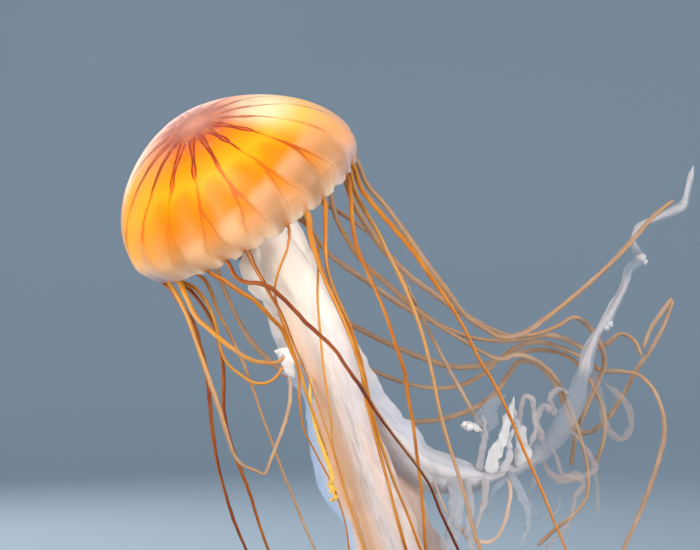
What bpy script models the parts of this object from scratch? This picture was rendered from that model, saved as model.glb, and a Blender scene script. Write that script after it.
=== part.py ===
"""Sea nettle jellyfish: a still, life-size museum model on a display stand.

Metres, +Z up. The origin is the centre of the base's underside. The bell leans to the left and a little
towards the front; four frilled oral arms and 24 marginal tentacles trail away below it to the right.
"""

import math

import bmesh
import bpy
from mathutils import Vector

MM = 0.001
GAP = 0.35  # mm between touching pieces
ROOT_GAP = 0.8  # mm from a cleft to the tentacle that grows in it
SLACK = 1.2  # mm by which a tentacle's straight runs may leave its curve

# The body's own zero, in mm from the centre of the base.
BODY_ORIGIN = (-62.0, -62.0, 0.0)

# Bell, in mm: its frame stands at the centre of the mouth, with its axis towards the crown.
BELL_CENTRE = (-37.0, 0.0, 456.5)
BELL_TILT_FORWARD = 16.0
BELL_LEAN_LEFT = 32.0
BELL_RADIUS = 95.5
BELL_WIDEST = 11.0
BELL_RISE = 76.0
CROWN_SHIFT = -7.5
BELL_WALL = 7.0
CAVITY_RISE = 51.0
DOME_POWER = 1.13
POUCHES = 16
FLUTE = 0.013
CLEFTS = 32
CLEFT_DEPTH = -2.5
LAPPET_DEPTH = -9.0
LAPPET_EDGE_RADIUS = 84.0
TENTACLE_CIRCLE = 86.8
DOME_SEGMENTS = 48
MARGIN_SEGMENTS = 3 * CLEFTS

# Stand, in mm.
BASE_RADIUS = 130.0
BASE_THICK = 10.0
BOSS_RADIUS = 14.0
BOSS_HEIGHT = 10.0
ROD_RADIUS = 3.5

# Tentacles, in mm: (name, cleft, root radius, tip radius, lengths, places passed on the way to the tip).
# Clefts count from the front of the bell, to the right; every fourth holds a sense organ and no tentacle.
TENTACLES = [
    ("front_1", 1, 1.5, 0.6, 1, [(-7, -83, 425), (-12, -85, 412), (-16, -79, 397), (-13, -64, 378), (-6, -55, 358),
                                 (0, -51, 337), (1, -48, 313), (4, -45, 294), (10, -42, 281), (17, -36, 267),
                                 (26, -30, 249), (34, -26, 223), (38, -24, 193)]),
    ("front_2", 2, 2.0, 0.7, 2, [(10, -77, 432), (15, -79, 416), (21, -80, 400), (28, -80, 385), (35, -79, 369),
                                 (41, -77, 353), (46, -75, 337), (49, -72, 318), (54, -69, 298), (59, -66, 278),
                                 (65, -62, 256), (71, -58, 232), (78, -54, 207), (86, -48, 173), (98, -40, 137),
                                 (112, -32, 107)]),
    ("front_3", 3, 2.0, 0.7, 2, [(20, -70, 441), (20, -72, 425), (22, -72, 408), (28, -71, 391), (36, -69, 373),
                                 (42, -67, 355), (47, -64, 336), (52, -61, 312), (59, -58, 287), (68, -54, 260),
                                 (79, -50, 233), (89, -46, 206), (102, -40, 174), (118, -32, 141), (136, -24, 110)]),
    ("right_1", 5, 2.1, 0.7, 2, [(38, -46, 463), (39, -49, 446), (42, -52, 428), (49, -53, 411), (57, -54, 393),
                                 (65, -54, 373), (71, -54, 354), (77, -53, 336), (80, -51, 316), (83, -49, 300),
                                 (86, -46, 276), (89, -42, 254), (91, -38, 233), (93, -34, 205), (97, -28, 170),
                                 (106, -20, 134), (119, -10, 102)]),
    ("right_2", 6, 2.2, 0.7, 2, [(45, -33, 471), (56, -38, 456), (69, -42, 441), (83, -46, 424), (96, -49, 405),
                                 (109, -52, 386), (121, -54, 366), (130, -55, 347), (142, -56, 327), (153, -57, 304),
                                 (163, -57, 280), (175, -56, 253), (186, -54, 226), (194, -52, 207), (205, -48, 178),
                                 (215, -42, 147), (221, -36, 122)]),
    ("right_3", 7, 2.0, 0.8, 2, [(50, -12, 474), (64, -8, 458), (80, 0, 437), (96, 8, 414), (111, 18, 394),
                                 (126, 30, 375), (141, 42, 365), (156, 54, 358), (174, 64, 361), (191, 74, 372),
                                 (211, 84, 386), (233, 92, 404), (253, 98, 423), (269, 104, 440), (282, 108, 454),
                                 (299, 112, 467)]),
    ("far_right_1", 9, 1.9, 0.7, 2, [(38, 13, 483), (42, 4, 467), (50, -4, 452), (59, -8, 437), (66, -11, 422),
                                     (74, -13, 406), (82, -14, 388), (89, -14, 369), (95, -13, 349), (100, -11, 327),
                                     (104, -9, 306), (110, -5, 284), (117, 0, 262), (124, 4, 240), (130, 8, 217),
                                     (136, 12, 198), (145, 18, 167), (158, 26, 135), (175, 36, 105)]),
    ("far_right_2", 10, 1.9, 0.8, 2, [(33, 31, 485), (37, 28, 469), (43, 25, 455), (52, 24, 441), (62, 24, 427),
                                      (73, 26, 415), (85, 30, 404), (99, 36, 394), (114, 44, 383), (129, 54, 374),
                                      (147, 66, 364), (164, 78, 358), (184, 90, 359), (203, 103, 365), (219, 116, 372),
                                      (232, 126, 364), (242, 131, 349), (245, 132, 334), (239, 131, 318),
                                      (229, 129, 296), (221, 127, 275), (217, 125, 250)]),
    ("far_right_3", 11, 1.8, 0.8, 2, [(23, 46, 485), (23, 43, 467), (27, 40, 450), (34, 39, 436), (44, 39, 420),
                                      (56, 40, 408), (69, 42, 397), (81, 45, 386), (96, 50, 375), (111, 56, 364),
                                      (126, 63, 355), (141, 71, 346), (156, 79, 340), (171, 87, 343), (187, 95, 337),
                                      (200, 103, 326), (210, 113, 310), (219, 118, 289), (226, 118, 268),
                                      (230, 116, 245), (228, 113, 227), (218, 109, 214), (203, 105, 203),
                                      (187, 101, 189)]),
    ("back_1", 13, 1.4, 0.6, 1, [(4, 67, 479), (15, 61, 464), (31, 57, 454), (46, 54, 444), (59, 53, 433),
                                 (69, 53, 419), (78, 54, 404), (87, 56, 387), (95, 59, 370), (105, 62, 351),
                                 (115, 65, 332), (126, 68, 313), (135, 71, 297), (144, 74, 284)]),
    ("back_2", 14, 1.8, 0.8, 2, [(-9, 77, 472), (0, 75, 453), (11, 73, 435), (22, 72, 422), (38, 72, 410),
                                 (55, 74, 398), (74, 77, 385), (93, 82, 374), (112, 88, 365), (132, 94, 357),
                                 (153, 99, 354), (175, 104, 355), (195, 110, 358), (213, 122, 354), (230, 133, 346),
                                 (247, 140, 349), (260, 141, 358), (271, 141, 352), (277, 139, 338)]),
    ("back_3", 15, 1.3, 0.6, 1, [(-26, 79, 469), (-12, 64, 456), (1, 44, 447), (11, 20, 435), (14, -8, 422),
                                 (14, -32, 406), (14, -48, 389), (16, -54, 364), (18, -56, 342), (21, -56, 321),
                                 (24, -54, 300), (25, -50, 282), (30, -46, 263), (38, -42, 237), (48, -38, 205),
                                 (60, -32, 170), (75, -24, 136)]),
    ("back_4", 17, 1.8, 0.8, 2, [(-50, 85, 443), (-35, 88, 416), (-13, 90, 394), (13, 90, 378), (36, 90, 368),
                                 (55, 91, 358), (76, 93, 348), (98, 96, 339), (119, 100, 333), (139, 105, 333),
                                 (156, 110, 338), (172, 116, 348), (189, 122, 352), (207, 128, 348), (225, 134, 340),
                                 (244, 140, 328), (259, 143, 327), (275, 144, 324), (287, 143, 312), (294, 141, 293),
                                 (295, 139, 274), (289, 136, 251), (280, 133, 227), (270, 130, 204), (260, 127, 183),
                                 (252, 124, 153)]),
    ("back_5", 18, 1.8, 0.8, 2, [(-55, 87, 436), (-43, 93, 403), (-22, 99, 374), (6, 103, 354), (34, 105, 339),
                                 (59, 107, 328), (83, 110, 319), (107, 113, 315), (129, 116, 318), (146, 120, 327),
                                 (162, 125, 340), (179, 130, 344), (197, 134, 345), (215, 138, 340), (230, 142, 327),
                                 (240, 145, 309), (247, 146, 290), (246, 145, 270), (239, 142, 251)]),
    ("back_6", 19, 1.8, 0.8, 2, [(-73, 83, 424), (-60, 96, 388), (-41, 108, 352), (-12, 116, 324), (23, 121, 301),
                                 (58, 124, 290), (90, 125, 287), (116, 126, 290), (138, 127, 298), (155, 129, 309),
                                 (166, 132, 324), (175, 135, 335), (187, 138, 335), (199, 141, 326), (209, 145, 312),
                                 (216, 149, 294), (223, 152, 279), (235, 154, 276), (250, 155, 287), (263, 155, 306),
                                 (274, 154, 327), (287, 153, 346), (298, 152, 367), (303, 151, 386), (295, 148, 376),
                                 (285, 146, 362), (278, 144, 345)]),
    ("far_left_1", 21, 1.8, 0.6, 2, [(-91, 38, 412), (-75, 26, 404), (-68, 16, 394), (-62, 8, 379), (-53, 3, 362),
                                     (-44, 0, 343), (-36, 0, 323), (-29, 2, 302), (-21, 5, 280), (-13, 8, 257),
                                     (-5, 12, 237), (3, 16, 216), (11, 20, 197), (25, 26, 163), (42, 32, 131),
                                     (63, 36, 105)]),
    ("far_left_2", 22, 1.6, 0.6, 2, [(-97, 32, 405), (-81, 34, 390), (-68, 34, 369), (-61, 32, 345), (-59, 29, 323),
                                     (-59, 26, 305), (-56, 24, 288), (-51, 24, 271), (-45, 26, 255), (-39, 29, 239),
                                     (-33, 33, 218), (-26, 37, 197), (-13, 43, 163), (2, 48, 131), (21, 52, 108)]),
    ("far_left_3", 23, 2.0, 0.8, 1, [(-97, 10, 403), (-80, -2, 397), (-71, -10, 388), (-65, -14, 377), (-61, -16, 365),
                                     (-59, -16, 353), (-54, -14, 341), (-44, -12, 332), (-34, -10, 326),
                                     (-24, -8, 326), (-16, -6, 332), (-11, -5, 341)]),
    ("left_1", 25, 2.2, 0.7, 2, [(-95, -22, 396), (-88, -28, 386), (-78, -33, 372), (-72, -35, 353), (-67, -35, 332),
                                 (-65, -34, 310), (-63, -33, 289), (-60, -31, 269), (-55, -28, 248), (-48, -25, 225),
                                 (-39, -22, 203), (-24, -18, 169), (-6, -14, 137), (18, -10, 110)]),
    ("left_2", 26, 2.1, 1.0, 2, [(-89, -37, 391), (-81, -43, 376), (-73, -46, 354), (-65, -48, 331), (-57, -49, 308),
                                 (-52, -48, 291), (-47, -46, 276), (-41, -44, 268), (-32, -42, 264),
                                 (-25, -40, 261), (-22, -38, 267), (-17, -34, 280), (-11, -28, 296),
                                 (-7, -20, 313), (-7, -12, 331)]),
    ("left_3", 27, 2.2, 1.0, 1, [(-80, -51, 388), (-73, -55, 375), (-64, -56, 367), (-55, -54, 359), (-45, -50, 351),
                                 (-36, -44, 345), (-25, -36, 342), (-16, -28, 342), (-10, -22, 346)]),
    ("front_left_1", 29, 1.9, 0.6, 1, [(-52, -70, 402), (-42, -73, 395), (-32, -72, 389), (-24, -66, 381),
                                       (-18, -58, 374), (-12, -48, 367), (-7, -42, 355), (0, -38, 338),
                                       (6, -34, 318), (13, -30, 298), (19, -26, 279), (24, -24, 260),
                                       (26, -22, 240)]),
    ("front_left_2", 30, 2.0, 0.8, 2, [(-43, -79, 404), (-35, -84, 401), (-25, -87, 400), (-17, -88, 396),
                                       (-5, -88, 385), (7, -87, 372), (17, -86, 363), (27, -85, 353), (35, -84, 341),
                                       (45, -82, 327), (57, -79, 308), (70, -74, 290), (86, -68, 269), (95, -63, 255),
                                       (103, -58, 235), (116, -50, 207), (129, -42, 175), (146, -33, 143),
                                       (166, -24, 115)]),
    ("front_left_3", 31, 1.9, 0.6, 2, [(-30, -81, 412), (-24, -82, 402), (-19, -80, 392), (-11, -76, 378),
                                       (-2, -70, 355), (8, -66, 331), (17, -64, 306), (26, -62, 278), (35, -58, 246),
                                       (45, -53, 215), (56, -46, 177), (72, -38, 137)]),
]

# Oral arms, in mm: (name, angle round the mouth, lengths, stations of centre, width and thickness).
ARMS = [
    ("arm_front", 0.0, 2, [((-9, -8, 402), 33, 10), ((11, -9, 362), 37, 11), ((27, -6, 322), 38, 10),
                           ((41, -1, 282), 36, 9), ((53, 4, 242), 32, 8), ((65, 9, 201), 28, 7),
                           ((79, 17, 157), 24, 6), ((97, 28, 115), 17, 5), ((120, 42, 79), 6, 3)]),
    ("arm_right", 90.0, 3, [((9, 10, 404), 26, 9), ((28, 14, 366), 28, 9), ((47, 22, 327), 28, 8),
                            ((70, 33, 294), 30, 8), ((98, 46, 265), 32, 7), ((127, 58, 250), 21, 6),
                            ((152, 69, 250), 16, 6), ((174, 79, 260), 16, 6), ((198, 88, 269), 17, 6),
                            ((216, 95, 293), 19, 6), ((225, 101, 325), 21, 6), ((235, 105, 357), 15, 5),
                            ((253, 110, 387), 10, 5), ((267, 115, 411), 10, 4), ((269, 119, 430), 8, 4),
                            ((283, 123, 448), 8, 3), ((301, 127, 460), 8, 3), ((311, 130, 477), 6, 3),
                            ((319, 132, 497), 3, 2)]),
    ("arm_back", 180.0, 2, [((2, 36, 396), 26, 8), ((26, 42, 350), 28, 8), ((47, 47, 309), 28, 8),
                            ((65, 52, 270), 27, 7), ((84, 58, 231), 25, 7), ((101, 66, 193), 22, 6),
                            ((119, 76, 152), 18, 5), ((139, 88, 112), 12, 4), ((157, 98, 80), 5, 3)]),
    ("arm_left", 270.0, 2, [((-25, 16, 398), 26, 8), ((-10, 20, 357), 27, 8), ((5, 23, 317), 30, 7),
                            ((17, 25, 280), 34, 6), ((27, 27, 245), 33, 6), ((38, 29, 210), 27, 6),
                            ((46, 30, 173), 21, 5), ((56, 34, 136), 14, 4), ((67, 42, 104), 5, 3)]),
]
ARM_CIRCLE = 12.0
ARM_START = -20.0
ARM_SIDES = 8
RUFFLE = 0.1
RUFFLE_PITCH = 27.0

# Strings of frill that hang from the right arm where it bends, in mm, as the arms.
FRILLS = [
    ("frill_up", [((144, 59, 250), 9, 4), ((148, 58, 268), 9, 4), ((154, 58, 283), 8, 4), ((160, 56, 298), 6, 3),
                  ((165, 56, 311), 3, 2)]),
    ("frill_mid", [((171, 71, 257), 7, 4), ((174, 69, 273), 7, 4), ((176, 66, 289), 6, 3), ((178, 64, 304), 5, 3),
                   ((174, 62, 315), 2, 2)]),
    ("frill_down", [((118, 48, 254), 9, 4), ((120, 47, 238), 9, 4), ((120, 46, 220), 8, 4), ((123, 42, 198), 7, 4),
                    ((130, 38, 170), 4, 2)]),
    ("frill_end", [((168, 70, 254), 8, 4), ((172, 66, 240), 8, 4), ((175, 62, 224), 6, 4), ((174, 58, 208), 5, 3),
                   ((166, 55, 196), 3, 2)]),
]


def clear_scene():
    for obj in list(bpy.data.objects):
        bpy.data.objects.remove(obj)


def material(name, colour, roughness, metallic=0.0):
    made = bpy.data.materials.new(name)
    made.use_nodes = True
    shader = made.node_tree.nodes["Principled BSDF"]
    shader.inputs["Base Color"].default_value = (*colour, 1.0)
    shader.inputs["Roughness"].default_value = roughness
    shader.inputs["Metallic"].default_value = metallic
    return made


def empty(name, place, parent=None):
    made = bpy.data.objects.new(name, None)
    made.location = Vector(place) * MM
    made.parent = parent
    bpy.context.collection.objects.link(made)
    return made


def mesh_object(name, bm, parent, finish, smooth=True):
    """An object from a bmesh in mm, scaled to metres, with its faces pointing out."""
    bmesh.ops.remove_doubles(bm, verts=bm.verts, dist=1e-4)
    bmesh.ops.recalc_face_normals(bm, faces=bm.faces)
    bmesh.ops.scale(bm, vec=(MM, MM, MM), verts=bm.verts)
    mesh = bpy.data.meshes.new(name)
    bm.to_mesh(mesh)
    bm.free()
    if smooth:
        mesh.shade_smooth()
        mesh.set_sharp_from_angle(angle=math.radians(50))
    mesh.materials.append(finish)
    made = bpy.data.objects.new(name, mesh)
    made.parent = parent
    bpy.context.collection.objects.link(made)
    return made


def lathe(profile, segments, start=0.0):
    """A closed profile of (radius, height) turned about Z, from the angle start."""
    bm = bmesh.new()
    turn = (math.cos(start), math.sin(start))
    verts = [bm.verts.new((r * turn[0], r * turn[1], h)) for r, h in profile]
    edges = [bm.edges.new(pair) for pair in zip(verts, verts[1:])]
    if profile[0][0] > 0:
        edges.append(bm.edges.new((verts[-1], verts[0])))
    bmesh.ops.spin(bm, geom=verts + edges, cent=(0, 0, 0), axis=(0, 0, 1), angle=2 * math.pi,
                   steps=segments, use_merge=True, use_duplicate=False)
    return bm


# Bell


def dome(radius, rise, angle):
    """(radius, height) on the dome, at an angle in degrees down from its crown."""
    a = math.radians(angle)
    out = max(0.0, math.sin(a)) ** DOME_POWER
    up = max(0.0, math.cos(a)) ** DOME_POWER
    return radius * out, BELL_WIDEST + rise * up


def flute(bm):
    """Presses the shallow grooves between the stomach pouches into a bell piece, deepest at its margin."""
    for v in bm.verts:
        r = math.hypot(v.co.x, v.co.y)
        if r > 1:
            phase = math.cos(POUCHES * math.atan2(v.co.x, -v.co.y))
            depth = FLUTE * phase * min(1.0, r / BELL_RADIUS) ** 3
            v.co.x *= 1 + depth
            v.co.y *= 1 + depth


def shift_crown(bm):
    """Leans a bell piece sideways in proportion to height, so that the crown stands off the mouth's centre."""
    for v in bm.verts:
        v.co.x += CROWN_SHIFT * v.co.z / (BELL_WIDEST + BELL_RISE)


def bell_dome(frame, finish):
    outer = [dome(BELL_RADIUS, BELL_RISE, a) for a in (0, 16, 32, 48, 62, 76, 90)]
    inner = [dome(BELL_RADIUS - BELL_WALL, CAVITY_RISE, a) for a in (90, 72, 52, 28, 0)]
    outer[0], inner[-1] = (0.0, outer[0][1]), (0.0, inner[-1][1])
    bm = lathe(outer + inner, DOME_SEGMENTS)
    flute(bm)
    shift_crown(bm)
    return mesh_object("bell_dome", bm, frame, finish)


def margin_radius(height, outer):
    """How the margin curls in below the widest ring, to a thin edge at the lappets' tips."""
    t = (BELL_WIDEST - height) / (BELL_WIDEST - LAPPET_DEPTH)
    top = BELL_RADIUS if outer else BELL_RADIUS - BELL_WALL
    edge = LAPPET_EDGE_RADIUS + (0.8 if outer else -0.8)
    return top + (edge - top) * t ** 1.7


def bell_margin(frame, finish):
    """The ring below the widest part, its edge cut into 32 lappets with a flat cleft between them."""
    top = BELL_WIDEST - GAP
    heights = (top, 0.0, LAPPET_DEPTH)
    profile = [(margin_radius(h, True), h) for h in heights]
    profile += [(margin_radius(h, False), h) for h in reversed(heights)]
    step = 2 * math.pi / MARGIN_SEGMENTS
    bm = lathe(profile, MARGIN_SEGMENTS, start=step / 2)
    share = (top - CLEFT_DEPTH) / (top - LAPPET_DEPTH)
    for v in bm.verts:
        angle = math.atan2(v.co.y, v.co.x)
        if round((angle - step / 2) / step) % 3 != 1:
            r = math.hypot(v.co.x, v.co.y)
            outer = r > (margin_radius(v.co.z, True) + margin_radius(v.co.z, False)) / 2
            v.co.z = top + (v.co.z - top) * share
            grown = margin_radius(v.co.z, outer) / r
            v.co.x *= grown
            v.co.y *= grown
    flute(bm)
    shift_crown(bm)
    return mesh_object("bell_margin", bm, frame, finish)


def manubrium(frame, finish):
    """The four-sided mouth stalk that hangs from the roof of the bell and carries the oral arms."""
    roof = dome(BELL_RADIUS - BELL_WALL, CAVITY_RISE, 28)[1]
    profile = [(0, roof - GAP), (25, roof - GAP), (18, 42), (18, 20), (22, 0), (23, -10), (20, -15), (0, -15)]
    bm = lathe(profile, 16)
    for v in bm.verts:
        lobe = 1 + 0.1 * math.cos(4 * math.atan2(v.co.y, v.co.x))
        v.co.x *= lobe
        v.co.y *= lobe
    shift_crown(bm)
    return mesh_object("manubrium", bm, frame, finish)


def bell_place(angle, radius, height):
    """A point of the bell in the body's frame, in mm; the angle is in degrees from the front, to the right."""
    a = math.radians(angle)
    shift = CROWN_SHIFT * height / (BELL_WIDEST + BELL_RISE)
    local = Vector((radius * math.sin(a) + shift, -radius * math.cos(a), height))
    forward, left = math.radians(BELL_TILT_FORWARD), math.radians(BELL_LEAN_LEFT)
    y = local.y * math.cos(forward) - local.z * math.sin(forward)
    z = local.y * math.sin(forward) + local.z * math.cos(forward)
    x = local.x * math.cos(left) - z * math.sin(left)
    return Vector((x, y, local.x * math.sin(left) + z * math.cos(left))) + Vector(BELL_CENTRE)


# Routes


def through(places, per_span):
    """A smooth curve through the places: a centripetal Catmull-Rom spline."""
    ends = [places[0] * 2 - places[1], *places, places[-1] * 2 - places[-2]]
    points = []
    for p0, p1, p2, p3 in zip(ends, ends[1:], ends[2:], ends[3:]):
        t1 = (p1 - p0).length ** 0.5
        t2 = t1 + (p2 - p1).length ** 0.5
        t3 = t2 + (p3 - p2).length ** 0.5
        for i in range(per_span):
            t = t1 + (t2 - t1) * i / per_span
            a1 = p0.lerp(p1, t / t1)
            a2 = p1.lerp(p2, (t - t1) / (t2 - t1))
            a3 = p2.lerp(p3, (t - t2) / (t3 - t2))
            b1 = a1.lerp(a2, t / t2)
            b2 = a2.lerp(a3, (t - t1) / (t3 - t1))
            points.append(b1.lerp(b2, (t - t1) / (t2 - t1)))
    return points + [places[-1]]


def distances(points):
    run = [0.0]
    for a, b in zip(points, points[1:]):
        run.append(run[-1] + (b - a).length)
    return run


def thinned(points, run, allowed):
    """The few (point, distance) pairs whose straight runs stay within the allowed distance of the curve."""
    a, b = points[0], points[-1]
    along = (b - a).normalized()
    off = [((p - a) - along * (p - a).dot(along)).length for p in points]
    worst = max(range(len(points)), key=off.__getitem__)
    if off[worst] <= allowed or len(points) < 3:
        return [(a, run[0]), (b, run[-1])]
    head = thinned(points[: worst + 1], run[: worst + 1], allowed)
    return head[:-1] + thinned(points[worst:], run[worst:], allowed)


def parted(pairs, pieces):
    """The route cut into pieces of like length, each cut across the middle of a straight run."""
    total = pairs[-1][1]
    out, rest = [], pairs
    for k in range(1, pieces):
        at = total * k / pieces
        i = min(range(1, len(rest) - 2), key=lambda j: abs((rest[j][1] + rest[j + 1][1]) / 2 - at))
        (p, s), (q, t) = rest[i], rest[i + 1]
        middle, half = (p + q) / 2, (q - p).normalized() * GAP / 2
        run = (s + t) / 2
        out.append(rest[: i + 1] + [(middle - half, run)])
        rest = [(middle + half, run)] + rest[i + 1 :]
    return out + [rest]


# Tentacles


def tube(name, pairs, radius_at, parent, finish, resolution=1):
    """A round tube along the pairs, its radius from their distance along the route."""
    data = bpy.data.curves.new(name, "CURVE")
    data.dimensions = "3D"
    data.bevel_depth = MM
    data.bevel_resolution = resolution
    data.use_fill_caps = True
    spline = data.splines.new("POLY")
    spline.points.add(len(pairs) - 1)
    for point, (place, run) in zip(spline.points, pairs):
        point.co = (*(place * MM), 1.0)
        point.radius = radius_at(run)
    data.materials.append(finish)
    made = bpy.data.objects.new(name, data)
    made.parent = parent
    bpy.context.collection.objects.link(made)
    return made


def tentacle(name, cleft, root, tip, pieces, places, body, finish):
    angle = cleft * 360 / CLEFTS
    start = bell_place(angle, TENTACLE_CIRCLE, CLEFT_DEPTH - ROOT_GAP)
    hang = bell_place(angle, TENTACLE_CIRCLE, CLEFT_DEPTH - 5)
    route = through([start, hang, *map(Vector, places)], 8)
    run = distances(route)
    pairs = thinned(route, run, SLACK)

    def radius_at(s):
        return root + (tip - root) * (s / run[-1]) ** 0.7

    for letter, piece in zip("abc", parted(pairs, pieces)):
        tube(f"tentacle_{name}_{letter}" if pieces > 1 else f"tentacle_{name}", piece, radius_at, body, finish)


# Oral arms


def ribbon(name, stations, parent, finish):
    """A flat-sided solid through (centre, distance, width, thickness, direction), closed at both ends."""
    bm = bmesh.new()
    rings = []
    for centre, run, width, thick, along in stations:
        side = along.cross(Vector((0, 1, 0))).normalized()
        face = side.cross(along).normalized()
        ring = []
        for k in range(ARM_SIDES):
            a = 2 * math.pi * k / ARM_SIDES
            wave = 1 + RUFFLE * math.sin(2 * math.pi * run / RUFFLE_PITCH + (a > math.pi / 2 and a < 4.7) * 2)
            ring.append(bm.verts.new(centre + side * (width / 2 * wave * math.cos(a)) + face * (thick / 2 * math.sin(a))))
        rings.append(ring)
    for a, b in zip(rings, rings[1:]):
        for k in range(ARM_SIDES):
            n = (k + 1) % ARM_SIDES
            bm.faces.new((a[k], a[n], b[n], b[k]))
    bm.faces.new(rings[0])
    bm.faces.new(rings[-1])
    return mesh_object(name, bm, parent, finish)


def stations_of(places, widths, thicks, spacing):
    """Evenly spaced stations on a smooth curve through the places, with their widths and thicknesses."""
    spans = 8
    route = through(places, spans)
    run = distances(route)
    knots = run[::spans]
    count = max(3, round(run[-1] / spacing))
    out = []
    for i in range(count + 1):
        at = run[-1] * i / count
        j = min(len(run) - 2, max(k for k, s in enumerate(run) if s <= at + 1e-6))
        centre = route[j].lerp(route[j + 1], (at - run[j]) / (run[j + 1] - run[j]))
        along = (route[min(j + 3, len(route) - 1)] - route[max(j - 2, 0)]).normalized()
        m = min(len(knots) - 2, max(k for k, s in enumerate(knots) if s <= at + 1e-6))
        t = (at - knots[m]) / (knots[m + 1] - knots[m])
        out.append((centre, at, widths[m] + (widths[m + 1] - widths[m]) * t,
                    thicks[m] + (thicks[m + 1] - thicks[m]) * t, along))
    return out


def oral_arm(name, angle, pieces, stations, body, finish):
    places = [bell_place(angle, ARM_CIRCLE, ARM_START)] + [Vector(s[0]) for s in stations]
    widths = [22] + [s[1] for s in stations]
    thicks = [10] + [s[2] for s in stations]
    made = stations_of(places, widths, thicks, 15)
    size = len(made) / pieces
    for k in range(pieces):
        part = made[round(k * size) : round((k + 1) * size) + (k < pieces - 1)]
        if k > 0:
            centre, run, width, thick, along = part[0]
            part[0] = (centre + along * GAP, run, width, thick, along)
        ribbon(f"{name}_{'abc'[k]}", part, body, finish)


# Stand


def stand(root, body, plate, steel):
    edge = 2.0
    profile = [(0, 0), (BASE_RADIUS - edge, 0), (BASE_RADIUS, edge), (BASE_RADIUS, BASE_THICK - edge),
               (BASE_RADIUS - edge, BASE_THICK), (BOSS_RADIUS, BASE_THICK), (BOSS_RADIUS, BASE_THICK + BOSS_HEIGHT - 1),
               (BOSS_RADIUS - 1, BASE_THICK + BOSS_HEIGHT), (0, BASE_THICK + BOSS_HEIGHT)]
    mesh_object("stand_base", lathe(profile, 40), root, plate)
    foot = -Vector(BODY_ORIGIN) + Vector((0, 0, BASE_THICK + BOSS_HEIGHT + GAP))
    places = [foot, foot + Vector((0, 0, 60)), foot + Vector((0, 0, 140)), Vector((61, 62, 205)),
              Vector((52, 62, 245)), Vector((28, 62, 305)), Vector((4, 60, 365)), Vector((-20, 54, 425)),
              Vector((-39, 46, 470)),
              Vector((-55.5, 38, 512.5))]
    route = through(places, 8)
    run = distances(route)
    tube("stand_rod", thinned(route, run, 0.4), lambda s: ROD_RADIUS, body, steel, resolution=4)


def build():
    clear_scene()
    jelly = material("bell_jelly", (0.90, 0.42, 0.10), 0.25)
    flesh = material("arm_flesh", (0.86, 0.74, 0.62), 0.35)
    strand = material("tentacle_flesh", (0.70, 0.27, 0.05), 0.3)
    plate = material("base_plate", (0.03, 0.03, 0.035), 0.4)
    steel = material("rod_steel", (0.55, 0.56, 0.58), 0.3, 1.0)
    root = empty("stand_centre", (0, 0, 0))
    body = empty("body_frame", BODY_ORIGIN, root)
    bell = empty("bell_frame", BELL_CENTRE, body)
    bell.rotation_euler = (math.radians(BELL_TILT_FORWARD), math.radians(-BELL_LEAN_LEFT), 0)
    bell_dome(bell, jelly)
    bell_margin(bell, jelly)
    manubrium(bell, flesh)
    for row in TENTACLES:
        tentacle(*row, body, strand)
    for row in ARMS:
        oral_arm(*row, body, flesh)
    for name, stations in FRILLS:
        places, widths, thicks = zip(*stations)
        ribbon(name, stations_of([Vector(p) for p in places], widths, thicks, 12), body, flesh)
    stand(root, body, plate, steel)


build()
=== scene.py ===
"""Sea nettle jellyfish: a still, life-size museum model on a display stand, dressed around its solids."""

import functools
import math

import bmesh
import bpy
from mathutils import Euler, Matrix, Vector, noise


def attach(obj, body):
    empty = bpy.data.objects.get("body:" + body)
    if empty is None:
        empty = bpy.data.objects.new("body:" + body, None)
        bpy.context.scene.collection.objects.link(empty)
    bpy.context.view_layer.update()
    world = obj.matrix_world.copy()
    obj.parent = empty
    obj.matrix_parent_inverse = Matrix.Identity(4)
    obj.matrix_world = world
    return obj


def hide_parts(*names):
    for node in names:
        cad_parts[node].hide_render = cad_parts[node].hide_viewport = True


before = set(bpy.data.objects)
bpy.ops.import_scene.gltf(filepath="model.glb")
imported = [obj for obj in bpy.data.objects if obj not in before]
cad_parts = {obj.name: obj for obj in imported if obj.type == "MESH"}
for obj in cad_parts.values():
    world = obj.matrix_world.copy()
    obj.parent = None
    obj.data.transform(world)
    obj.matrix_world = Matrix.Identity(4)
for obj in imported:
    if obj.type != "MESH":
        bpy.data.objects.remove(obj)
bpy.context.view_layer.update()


# Stand base: a disc of 10 mm steel plate, 260 mm across, with a turned boss that takes the rod. It is blasted
# and powder-coated in charcoal, which leaves fine orange peel, faint mottling and a soft satin gloss.


def linear(colour):
    """An sRGB hex colour as linear RGBA."""
    parts = [int(colour[i : i + 2], 16) / 255 for i in (1, 3, 5)]
    return (*(c / 12.92 if c <= 0.04045 else ((c + 0.055) / 1.055) ** 2.4 for c in parts), 1.0)


def plug(node, inputs):
    """Sets a node's inputs, by name or in order, to values, other nodes or their outputs."""
    sockets = [s for s in node.inputs if s.enabled]
    for key, value in inputs.items() if isinstance(inputs, dict) else enumerate(inputs):
        socket = sockets[key] if isinstance(key, int) else next(s for s in sockets if s.name == key)
        if isinstance(value, bpy.types.Node):
            value = next(s for s in value.outputs if s.enabled)
        if isinstance(value, bpy.types.NodeSocket):
            node.id_data.links.new(value, socket)
        else:
            socket.default_value = value


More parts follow.
